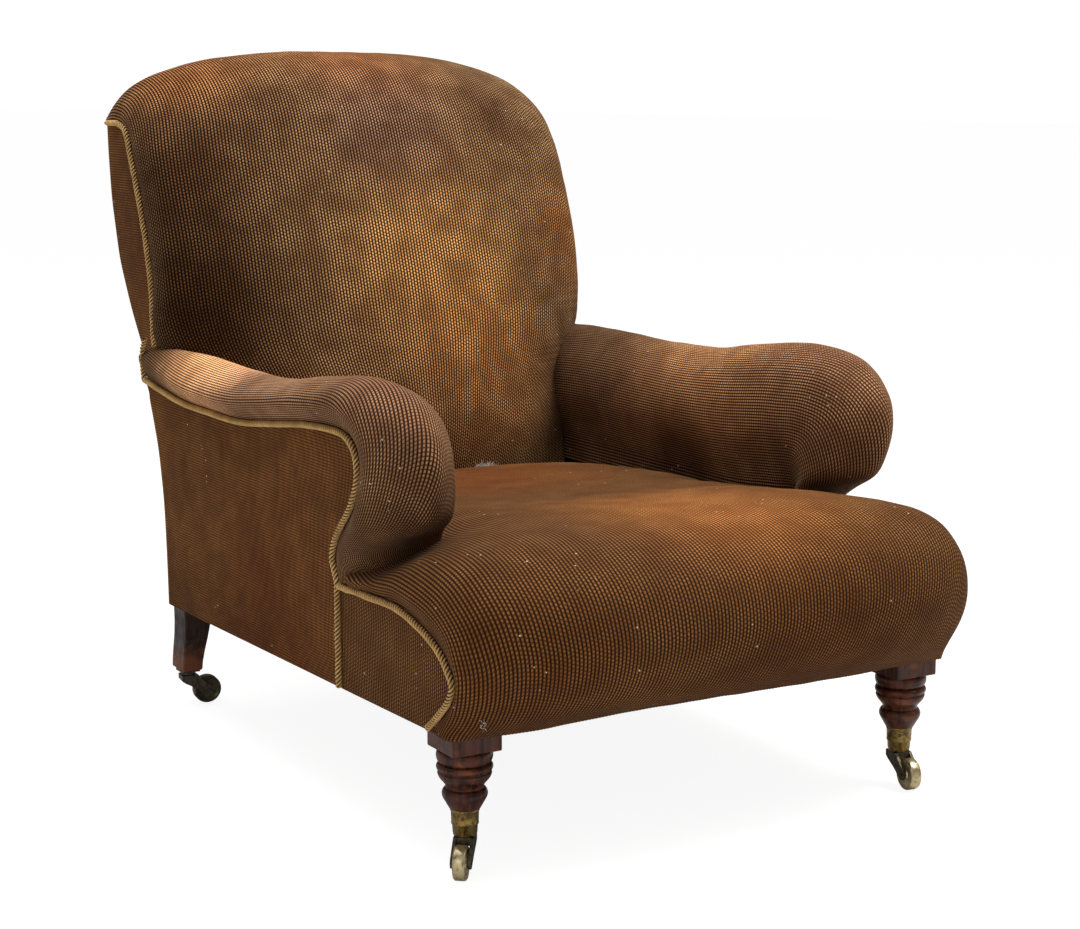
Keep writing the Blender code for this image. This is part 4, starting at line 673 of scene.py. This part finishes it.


# Where the cover has faded or rubbed, and where light and shade are painted on it: painted light on faces turned
# up to the lamps, painted shade on faces turned away and in the creases; centre, radius, tint
FADES_AND_PAINTED_LIGHT = {
    "ribbed_wool": [
        # seat: painted light on the top and over the front roll, painted shade down the front
        ((0.000, 0.100, 0.310), 0.260, (1.35, 1.05, 0.82)),
        ((0.050, -0.380, 0.380), 0.240, (2.15, 1.92, 1.60)),
        ((0.100, -0.530, 0.190), 0.220, (0.74, 0.66, 0.60)),
        ((-0.250, -0.500, 0.230), 0.150, (0.85, 0.78, 0.70)),
    ],
    "back_wool": [
        # back: painted light on the top roll and the right flank, a lighter golden middle that is partly faded
        # cloth and partly painted light, painted shade down the left flank and under the top roll
        ((0.000, 0.520, 0.900), 0.210, (1.40, 1.00, 0.72)),
        ((-0.240, 0.480, 0.850), 0.150, (1.25, 0.92, 0.66)),
        ((0.020, 0.360, 0.780), 0.160, (0.85, 0.82, 1.10)),
        ((0.060, 0.280, 0.580), 0.210, (1.90, 1.78, 1.40)),
        ((0.120, 0.240, 0.440), 0.180, (1.35, 1.20, 1.00)),
        ((-0.290, 0.300, 0.540), 0.190, (0.22, 0.17, 0.13)),
        ((-0.300, 0.330, 0.720), 0.170, (0.42, 0.34, 0.28)),
        ((-0.150, 0.380, 0.790), 0.090, (0.62, 0.56, 0.56)),
        ((0.200, 0.380, 0.790), 0.100, (0.62, 0.56, 0.58)),
        ((0.310, 0.330, 0.620), 0.130, (1.30, 1.05, 0.78)),
    ],
    "arm_wool": [
        # arms: painted light on the faces turned up, strongest on the near arm's rear top and the far arm's inner
        # face, over a purple-grey fading of the tops; painted shade where the far arm meets the seat and under the
        # near arm's nose
        ((-0.315, 0.200, 0.500), 0.170, (5.40, 5.60, 5.60)),
        ((-0.310, -0.020, 0.520), 0.240, (2.05, 2.10, 2.50)),
        ((-0.300, -0.300, 0.520), 0.170, (1.45, 1.40, 1.60)),
        ((0.290, -0.060, 0.500), 0.260, (2.45, 2.32, 2.20)),
        ((0.300, -0.330, 0.480), 0.160, (1.50, 1.45, 1.60)),
        ((0.262, -0.020, 0.340), 0.120, (0.46, 0.42, 0.38)),
        ((-0.300, -0.330, 0.350), 0.080, (0.62, 0.54, 0.48)),
    ],
    "panel_wool": [
        # side covers: painted shade on the left side, which faces away from the lamps
        ((-0.330, 0.000, 0.180), 0.220, (0.90, 0.74, 0.60)),
        ((-0.330, 0.360, 0.680), 0.200, (0.80, 0.68, 0.58)),
    ],
}


def wool(name, ground, rib, dash, contrast, dash_long, stagger=0.5):
    """Ribbed wool: dark grooves, brown ribs and a row of light dashes on each rib."""
    look = Look(name, roughness=0.92)
    u, v = look.weave()
    number = look.math("FLOOR", u)
    chance = look.add("TexWhiteNoise", noise_dimensions="1D")
    look.join(number, chance.inputs["W"])
    across = look.from_middle(u)
    shift = look.math("ADD", v, look.times(chance.outputs[0], 0.5 * stagger))
    along = look.from_middle(look.math("ADD", shift, look.times(number, stagger)))
    crown = look.ramp(across, 0.9, 0.25)
    stitch = look.times(look.ramp(across, 0.66, 0.22), look.ramp(along, dash_long + 0.12, dash_long - 0.12))
    rubbed = look.ramp(look.noise(26.0, 5.0), 0.3, 0.72, 0.45, 1.0)
    fine = look.ramp(look.noise(900.0, 2.0), 0.25, 0.75, 0.7, 1.25)
    colour = look.mix(crown, ground, rib)
    colour = look.mix(look.times(look.times(stitch, contrast), rubbed), colour, dash)
    colour = look.tinted(colour, fine)
    patches = look.ramp(look.noise(5.0, 4.0), 0.3, 0.7)
    colour = look.tinted(colour, look.mix(patches, (0.9, 0.85, 0.82), (1.12, 1.08, 1.0)))
    # faded patches of cloth, together with painted light and painted shade
    for centre, radius, tint in FADES_AND_PAINTED_LIGHT[name]:
        colour = look.tinted(colour, tint, look.near(centre, radius))
    # darker towards the bottom of the chair
    darker_below = look.ramp(look.parts(look.place)[2], 0.24, 0.14, 0.0, 0.45)
    colour = look.tinted(colour, (0.62, 0.5, 0.42), darker_below)
    # specks of lint caught in the cloth
    cell = look.add("TexVoronoi")
    look.join(60.0, cell.inputs["Scale"])
    look.join(look.place, cell.inputs["Vector"])
    speck = look.times(look.ramp(cell.outputs["Distance"], 0.08, 0.05),
                       look.ramp(look.noise(8.0, 2.0), 0.53, 0.57))
    colour = look.mix(look.times(speck, 0.9), colour, LINT)
    look.set("Base Color", colour)
    look.set("Sheen Weight", 0.05)
    look.set("Sheen Roughness", 0.45)
    look.set("Sheen Tint", (0.8, 0.62, 0.48))
    look.set("Specular IOR Level", 0.08)
    height = look.math("ADD", look.times(crown, 0.45), look.times(stitch, 0.55))
    height = look.math("ADD", height, look.times(look.noise(1400.0, 2.0), 0.25))
    look.bump(height, 0.55, 0.0006)
    return look.material


def twisted(name):
    """Dirty golden cord, with painted shade where its strands meet."""
    look = Look(name, roughness=0.8)
    dirt = look.ramp(look.noise(40.0, 4.0), 0.3, 0.7)
    colour = look.mix(dirt, (0.62, 0.37, 0.12), (0.95, 0.61, 0.23))
    colour = look.mix(look.ramp(look.noise(700.0, 2.0), 0.35, 0.65, 0.0, 0.5), colour, (0.4, 0.215, 0.065))
    # painted shade on the inner sides of the strands, where they meet
    colour = look.mix(look.ramp(look.weave()[0], 0.85, 0.35), colour, (0.19, 0.095, 0.028))
    look.set("Base Color", colour)
    look.set("Sheen Weight", 0.05)
    look.bump(look.noise(1300.0, 2.0), 0.5, 0.0004)
    return look.material


def polished(name, dark, light, rubbed, roughness, grain=(60.0, 60.0, 4.0), worn_below=None):
    """Old polished wood with long grain and rubbed places."""
    look = Look(name)
    lines = look.ramp(look.noise(3.0, 6.0, grain), 0.35, 0.65)
    colour = look.mix(lines, dark, light)
    wear = look.ramp(look.noise(30.0, 5.0), 0.6, 0.74)
    colour = look.mix(look.times(wear, 0.7), colour, rubbed)
    if worn_below is not None:
        ragged = look.ramp(look.noise(60.0, 4.0), 0.3, 0.7, -0.01, 0.01)
        foot = look.math("ADD", look.parts(look.place)[2], ragged)
        colour = look.mix(look.ramp(foot, worn_below + 0.01, worn_below - 0.02), colour, rubbed)
    look.set("Base Color", colour)
    look.set("Roughness", look.ramp(look.noise(55.0, 4.0), 0.3, 0.7, roughness - 0.08, roughness + 0.18))
    look.set("Coat Weight", 0.05)
    look.set("Specular IOR Level", 0.25)
    look.set("Coat Roughness", 0.3)
    look.bump(look.noise(6.0, 8.0, grain), 0.15, 0.0006)
    return look.material


def metal(name, colour, tarnish, roughness, share):
    look = Look(name, metallic=1.0)
    worn = look.ramp(look.noise(190.0, 5.0), 0.5 - share, 0.7)
    look.set("Base Color", look.mix(worn, colour, tarnish))
    look.set("Metallic", look.ramp(worn, 0.0, 1.0, 1.0, 0.55))
    look.set("Roughness", look.ramp(look.noise(160.0, 4.0), 0.3, 0.7, roughness, roughness + 0.25))
    look.bump(look.noise(600.0, 3.0), 0.12, 0.0002)
    return look.material


def plain_cloth(name, light, dark, pitch):
    """Loose plain weave for the pieces under the covers."""
    look = Look(name, roughness=0.95)
    waves = [look.add("TexWave", wave_type="BANDS", bands_direction=way) for way in "XY"]
    for wave in waves:
        look.join(look.place, wave.inputs["Vector"])
        look.join(0.32 / pitch, wave.inputs["Scale"])
    threads = look.times(waves[0].outputs[1], waves[1].outputs[1])
    look.set("Base Color", look.mix(threads, dark, light))
    look.bump(threads, 0.5, 0.0004)
    return look.material


wool_cover = wool("ribbed_wool", (0.024, 0.008, 0.002), (0.118, 0.043, 0.012), (0.4, 0.21, 0.078),
                  contrast=0.7, dash_long=0.6)
wool_back = wool("back_wool", (0.016, 0.005, 0.002), (0.105, 0.042, 0.014), (0.64, 0.4, 0.19),
                 contrast=0.9, dash_long=0.62)
wool_arm = wool("arm_wool", (0.022, 0.008, 0.003), (0.11, 0.045, 0.018), (0.48, 0.295, 0.15),
                contrast=0.8, dash_long=0.6, stagger=0.0)
wool_panel = wool("panel_wool", (0.022, 0.006, 0.001), (0.12, 0.038, 0.008), (0.5, 0.23, 0.06),
                  contrast=0.9, dash_long=0.58, stagger=0.0)
cord_look = twisted("rope_cord")
mahogany = polished("old_mahogany", (0.022, 0.005, 0.002), (0.095, 0.022, 0.008), (0.23, 0.066, 0.02), 0.28)
stained = polished("dark_stain", (0.014, 0.006, 0.004), (0.045, 0.02, 0.012), (0.17, 0.052, 0.02), 0.45,
                   worn_below=0.08)
beech = polished("bare_beech", (0.33, 0.2, 0.1), (0.44, 0.29, 0.16), (0.3, 0.18, 0.09), 0.6)
brass = metal("aged_brass_look", (0.3, 0.2, 0.06), (0.08, 0.052, 0.018), 0.24, 0.06)
tread = metal("rubbed_tread_look", (0.64, 0.53, 0.31), (0.24, 0.165, 0.07), 0.26, 0.02)
dull_brass = metal("dull_brass_look", (0.13, 0.105, 0.055), (0.04, 0.034, 0.022), 0.36, 0.2)
bronze = metal("dark_bronze_look", (0.13, 0.105, 0.07), (0.03, 0.026, 0.02), 0.38, 0.15)
steel = metal("spring_steel_look", (0.35, 0.33, 0.31), (0.12, 0.07, 0.04), 0.4, 0.12)
jute = plain_cloth("jute_look", (0.4, 0.29, 0.16), (0.19, 0.13, 0.065), 0.003)
# hessian darkened as old cloth and as painted shade, for the corner of it that shows in a shaded gap by an arm's
# foot
hessian = plain_cloth("hessian_painted_shade_look", (0.11, 0.062, 0.028), (0.05, 0.028, 0.012), 0.0022)
lining = plain_cloth("lining_look", (0.022, 0.02, 0.019), (0.009, 0.008, 0.008), LINING_PITCH)
fluff = plain_cloth("stuffing_fluff", (0.82, 0.78, 0.72), (0.64, 0.59, 0.52), 0.0012)

by_slot = {"cover_cloth": wool_panel, "cord_twist": cord_look, "mahogany": mahogany, "stained_wood": stained,
           "beech_frame": beech, "aged_brass": brass, "dark_bronze": bronze, "spring_steel": steel,
           "jute_web": jute, "hessian": hessian, "black_lining": lining}
for piece in frame["record"]["subparts"]:
    mesh = nodes[piece["node"]].data
    mesh.materials.clear()
    mesh.materials.append(by_slot[piece["material_slot"]])


# The covers

def rib_count(net, closer=1.0):
    """How many ribs the cloth has across the middle of a net."""
    lengths = np.linalg.norm(np.diff(skin(net, 40, 200), axis=1), axis=2).sum(axis=1)
    return int(round(float(np.median(lengths)) * closer / RIB_PITCH))


# mesh rows along each cover, with its triangles kept under 200,000
detail = 1.0
seat = stuffed_cover("seat_upholstery", seat_net(), rib_count(seat_net()), int(92 * detail), wool_cover,
                     hem_row=(0.0, 0.0045, 0.003), passes=90)
back = stuffed_cover("back_upholstery", back_net(), rib_count(back_net()), int(84 * detail), wool_back,
                     passes=30)
for side, sign in SIDES:
    # an arm's ribs stand closer than the seat's
    stuffed_cover(side + "_arm_upholstery", arm_net(), rib_count(arm_net(), closer=1.22), int(104 * detail),
                  wool_arm, sign, slack=0.0009, hem_row=(-sign * 0.008, 0.02, -0.012),
                  turned=(False, True), foot=0.035)

tuft("stuffing_tuft", joint_of(seat, back, 0.1), (0.008, 0.003, 0.0018), 190, 0.0065, fluff, FIBRE_SEED)
tuft("frayed_hem", nearest(seat, (-0.318, -0.515, 0.17)), (0.0024, 0.0008, 0.004), 34, 0.005, fluff,
     FIBRE_SEED + 1)

arm_seam = seam_of(arm_net(), SIDE_PLANE)
seat_seam = seam_of(seat_net(), SIDE_PLANE)
back_seam = seam_of(back_net(), BACK_HALF)[::-1]


def rear_point(z):
    """The rear edge of a side cover at a height."""
    return float(rear_line(z)) - REAR_INSET, z


def rear_edge(low, high):
    """The rear edge of a side cover, from low to just under high."""
    return [rear_point(z) for z in np.linspace(low, high, 14)[:-1]]


rear_low = rail_z(0.76) - HEM
seam_foot = rail_z(SEAM_Y) - HEM
arm_panel = [tuple(p) for p in inset(arm_seam, PANEL_INSET)]
arm_panel[0] = rear_point(arm_panel[0][1])
arm_panel += [(SEAM_Y + SEAM_GROW, SEAT_TOP - 0.08), (SEAM_Y + SEAM_GROW, seam_foot)]
arm_panel += rear_edge(rear_low, arm_panel[0][1])
seat_panel = [tuple(p) for p in inset(seat_seam, PANEL_INSET) if p[0] < SEAM_Y - 0.001]
seat_panel = [(SEAM_Y - SEAM_GROW, seam_foot), (SEAM_Y - SEAM_GROW, seat_panel[0][1])] + seat_panel
back_panel = [tuple(p) for p in inset(back_seam, PANEL_INSET)]
back_panel[0] = rear_point(back_panel[0][1])
foot_low = back_panel[-1][1] - 0.02
back_panel += [(back_panel[-1][0] + 0.012, foot_low)] + rear_edge(foot_low, back_panel[0][1])

upright = [(SEAM_Y, z) for z in np.linspace(SEAT_TOP - 0.078, seam_foot + 0.001, 12)]
arm_route = [p for p in inset(arm_seam, CORD_INSET) if p[0] > 0.26 or p[1] > SEAT_TOP - 0.058]
arm_route = [p for p in arm_route if p[0] < arm_route[0][0] - 0.005]
# at the rear the cord climbs the arm's end to the foot of the back's cord
climb = [arm_route[0] + step for step in
         ((-0.006, 0.056), (0.002, 0.043), (0.004, 0.028), (0.003, 0.012))]
arm_route = climb + arm_route + upright
seat_route = [p for p in inset(seat_seam, CORD_INSET) if p[0] < SEAM_Y - 0.0072]
seat_route = [(SEAM_Y - 0.004, seat_route[0][1])] + seat_route
back_route = [p for p in inset(back_seam, CORD_INSET)[1:] if p[0] < rear_line(p[1]) - 0.008]
for side, sign in SIDES:
    panel(side + "_outside_arm", arm_panel, sign * SIDE_PLANE, wool_panel, 0.0016)
    panel(side + "_seat_border", seat_panel, sign * SIDE_PLANE, wool_cover, 0.0014, RIB_PITCH)
    panel(side + "_back_side_cover", back_panel, sign * BACK_HALF, wool_panel, 0.001)
    rope(side + "_arm_cord", arm_route, sign * (SIDE_PLANE + CORD_OUT), cord_look)
    rope(side + "_seat_cord", seat_route, sign * (SIDE_PLANE + CORD_OUT), cord_look)
    rope(side + "_back_cord", back_route, sign * (BACK_HALF + CORD_OUT), cord_look)


def add_outside_back():
    """Cloth over the rear of the frame, slightly slack between the posts."""
    rows, columns = 90, 121
    zs = np.linspace(rear_low, BACK_TOP - 0.096, rows)
    depth = rear_line(zs)
    for _ in range(6):
        depth[1:-1] = (depth[:-2] + 2 * depth[1:-1] + depth[2:]) / 4
    share = np.clip((zs - 0.41) / 0.06, 0, 1)
    reach = SIDE_PLANE + share * (BACK_HALF - SIDE_PLANE)
    across = np.linspace(-1, 1, columns)
    grid = np.empty((rows, columns, 3))
    grid[:, :, 0] = reach[:, None] * across
    grid[:, :, 1] = (depth - MIDDLE_Y)[:, None]
    grid[:, :, 2] = zs[:, None]
    inward = (1 - across ** 2)[None] * np.sin(np.linspace(0, math.pi, rows))[:, None]
    grid[:, :, 1] += inward * (0.0012 * ripple(grid, 0.15, 41) - 0.001)
    tuck = (0.0, TUCK, 0.0)
    grid = np.concatenate([grid[:, :1] - tuck, grid, grid[:, -1:] - tuck], axis=1)
    mesh = grid_mesh("outside_back", grid, grid[:, :, [0, 2]] / PANEL_PITCH, False)
    made = add_piece("outside_back_cover", mesh, wool_panel, "outside_back")


def add_bottom_cloth():
    """Thin black cloth under the seat frame, sagging between its edges."""
    low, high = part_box("bottom_cloth")
    across, along = np.linspace(0, 1, 61), np.linspace(0, 1, 71)
    x, y = np.meshgrid(low.x + across * (high.x - low.x), low.y + along * (high.y - low.y))
    slope = (low.z - high.z + 0.001) / (high.y - low.y)
    z = high.z - 0.001 + slope * (y - low.y)
    sag = 16 * (across * (1 - across))[None] * (along * (1 - along))[:, None]
    grid = np.stack([x, y, z], axis=2)
    grid[:, :, 2] -= sag * 0.006 + sag * 0.0015 * ripple(grid, 0.1, 51)
    mesh = grid_mesh("bottom_cloth", grid, grid[:, :, :2] / LINING_PITCH, True)
    made = add_piece("bottom_cloth_sheet", mesh, lining, "bottom_cloth")


add_outside_back()
add_bottom_cloth()


# Legs and castors

# Share of the turned height, radius
LEG_PROFILE = [(1.0, 0.0272), (0.97, 0.0298), (0.89, 0.0305), (0.81, 0.029), (0.78, 0.0262), (0.76, 0.029),
               (0.72, 0.0305), (0.67, 0.0298), (0.64, 0.0278), (0.6, 0.0292), (0.52, 0.027), (0.43, 0.0222),
               (0.36, 0.0203), (0.33, 0.0228), (0.27, 0.0246), (0.2, 0.024), (0.1, 0.0205), (0.0, 0.0168)]
CUP_BOTTOM, CUP_TOP, TURNING_TOP = 0.04188, 0.07188, 0.1375


def add_front_leg(side, sign):
    """A turned leg on its cup, and the square block above it in the cloth."""
    foot, rise = CUP_TOP + 0.0003, TURNING_TOP - CUP_TOP - 0.0003
    curve = np.array([(radius, foot + share * rise) for share, radius in LEG_PROFILE])
    points = spline(curve, np.linspace(0, len(LEG_PROFILE) - 1, 100))
    profile = [(0.025, TURNING_TOP + 0.004)] + [tuple(p) for p in points] + [(0.0134, CUP_TOP - 0.001)]
    turned = lathe(side + "_leg", profile, 72, (sign * LEG_X, -MIDDLE_Y, 0.0))
    add_piece(side + "_leg_turning", turned, mahogany, side + "_front_leg")
    half = LEG_BLOCK / 2
    block = bpy.data.meshes.new(side + "_block")
    corners = [(sign * LEG_X + a * half, -MIDDLE_Y + b * half, z) for z in (TURNING_TOP, TURNING_TOP + 0.0985)
               for a, b in ((-1, -1), (1, -1), (1, 1), (-1, 1))]
    block.from_pydata(corners, [], BOX_FACES)
    bevelled(add_piece(side + "_leg_block", block, mahogany), 0.0016)


def add_cup(side, sign):
    profile = [(radius, CUP_BOTTOM + up) for radius, up in
               ((0.0085, 0.0001), (0.0122, 0.0001), (0.0128, 0.0008), (0.0128, 0.0026), (0.0133, 0.0032))]
    profile += [(radius, CUP_TOP - down) for radius, down in
                ((0.0138, 0.018), (0.0147, 0.0172), (0.015, 0.016), (0.0147, 0.0148), (0.0151, 0.003),
                 (0.0158, 0.0024), (0.016, 0.0012), (0.0157, 0.0002), (0.015, 0.0), (0.0137, 0.0))]
    mesh = lathe(side + "_cup", profile, 56, (sign * LEG_X, -MIDDLE_Y, 0.0))
    keep_edges(add_piece(side + "_cup", mesh, brass, side + "_front_castor_cup"), 50.0)


def add_wheel(place):
    """A solid brass wheel with a rounded tread and a raised hub on both sides."""
    joint = joints[place + "_roll"]
    half = [(0.003, 0.0069), (0.0058, 0.0069), (0.0064, 0.0063), (0.007, 0.0055), (0.014, 0.0055),
            (0.015, 0.0062), (0.016, 0.0068), (0.0174, 0.0068), (0.0184, 0.006), (AXLE_Z, 0.0048)]
    profile = half + [(radius, -height) for radius, height in half[::-1]]
    mesh = lathe(place + "_wheel", profile, 64, joint["pos_m"], joint["axis"])
    look = tread if "front" in place else dull_brass
    keep_edges(add_piece(place + "_wheel_turned", mesh, look, place + "_castor_wheel",
                         place + "_wheel"), 40.0)


def add_cup_screw(side):
    """The dark head of the screw that holds a castor cup on its leg."""
    x, y, _ = joints[side + "_front_turn"]["pos_m"]
    profile = [(0.0021, 0.0125), (0.0021, 0.015), (0.0016, 0.0154), (0.0001, 0.0155)]
    mesh = lathe(side + "_cup_screw", profile, 14, (x, y, CUP_TOP - 0.0085), SCREW_FACES)
    add_piece(side + "_cup_screw", mesh, bronze)


def add_bridge(place):
    """The web that joins a fork's cheeks behind the wheel, under the crown."""
    pivot = Vector(joints[place + "_turn"]["pos_m"])
    ahead = Vector(joints[place + "_roll"]["pos_m"]) - pivot
    ahead = Vector((ahead.x, ahead.y, 0.0)).normalized()
    aside = Vector((-ahead.y, ahead.x, 0.0))
    mesh = bpy.data.meshes.new(place + "_bridge")
    corners = [pivot * Vector((1, 1, 0)) + ahead * a + aside * b + Vector((0, 0, z))
               for z, reach in ((0.0324, 0.0098), (0.0352, 0.0104)) for a, b in
               ((-0.006, -0.0076), (reach, -0.0076), (reach, 0.0076), (-0.006, 0.0076))]
    mesh.from_pydata([tuple(c) for c in corners], [], BOX_FACES)
    add_piece(place + "_bridge", mesh, bronze, body=place + "_swivel")


for side, sign in SIDES:
    add_cup_screw(side)
    add_front_leg(side, sign)
    add_cup(side, sign)
    rounded(side + "_back_post", stained, "chair", 0.002)
    rounded(side + "_back_castor_plate", bronze, "chair", 0.0005)
    for end in ("front", "back"):
        place = side + "_" + end
        add_wheel(place)
        add_bridge(place)
        rounded(place + "_castor_fork", bronze, place + "_swivel", 0.0006)


# Stage

def add_floor():
    """A floor that the camera sees white with a soft shadow, and that lights the chair like white paper."""
    mesh = bpy.data.meshes.new("floor")
    mesh.from_pydata([(-30, -30, 0), (30, -30, 0), (30, 60, 0), (-30, 60, 0)], [], [(0, 1, 2, 3)])
    look = Look("white_floor")
    look.tree.nodes.remove(look.bsdf)
    shade = look.add("BsdfDiffuse", (0.30, 0.30, 0.30))
    glow = look.add("Emission")
    look.join(0.90, glow.inputs["Strength"])
    seen = look.add("AddShader", shade.outputs[0], glow.outputs[0])
    bounce = look.add("BsdfDiffuse", (0.85, 0.85, 0.85))
    to_camera = look.add("LightPath").outputs["Is Camera Ray"]
    mixed = look.add("MixShader", to_camera, bounce.outputs[0], seen.outputs[0])
    look.join(mixed.outputs[0], look.surface)
    mesh.materials.append(look.material)
    add_object("floor", mesh)


def add_world():
    """A white world, brighter to the camera than to the chair."""
    world = bpy.data.worlds.new("white")
    bpy.context.scene.world = world
    world.use_nodes = True
    tree = world.node_tree
    background = tree.nodes["Background"]
    path = tree.nodes.new("ShaderNodeLightPath")
    strength = tree.nodes.new("ShaderNodeMapRange")
    strength.inputs["To Min"].default_value = 0.30
    strength.inputs["To Max"].default_value = 1.05
    tree.links.new(path.outputs["Is Camera Ray"], strength.inputs["Value"])
    tree.links.new(strength.outputs[0], background.inputs["Strength"])
    background.inputs["Color"].default_value = (1.0, 1.0, 1.0, 1.0)


def add_lamp(name, place, target, size, power, colour=(1.0, 1.0, 1.0)):
    lamp = bpy.data.lights.new(name, "AREA")
    lamp.shape = "RECTANGLE"
    lamp.size, lamp.size_y = size
    lamp.energy = power
    lamp.color = colour
    made = add_object(name, lamp)
    made.location = place
    made.rotation_euler = (Vector(target) - Vector(place)).to_track_quat("-Z", "Y").to_euler()


def add_camera():
    """The photo's camera, as solved from the chair's feet and level lines."""
    camera = bpy.data.cameras.new("camera")
    camera.sensor_width = 36.0
    camera.lens = 73.57
    made = add_object("camera", camera)
    made.location = (-1.37702, -2.40742, 0.83408)
    made.rotation_euler = (math.radians(90 - 9.871), 0.0, math.radians(-30.669))
    bpy.context.scene.camera = made


add_floor()
add_world()
add_lamp("key", (1.3, -1.0, 2.8), (0.0, 0.0, 0.40), (1.4, 1.4), 60.0, (1.0, 0.985, 0.96))
add_lamp("fill", (-2.2, -2.0, 1.2), (0.0, -0.1, 0.35), (1.8, 1.8), 9.0)
add_lamp("top", (-0.3, 0.5, 3.0), (0.0, 0.0, 0.40), (2.4, 2.4), 52.0)
add_camera()
bpy.context.scene.view_settings.view_transform = "Standard"
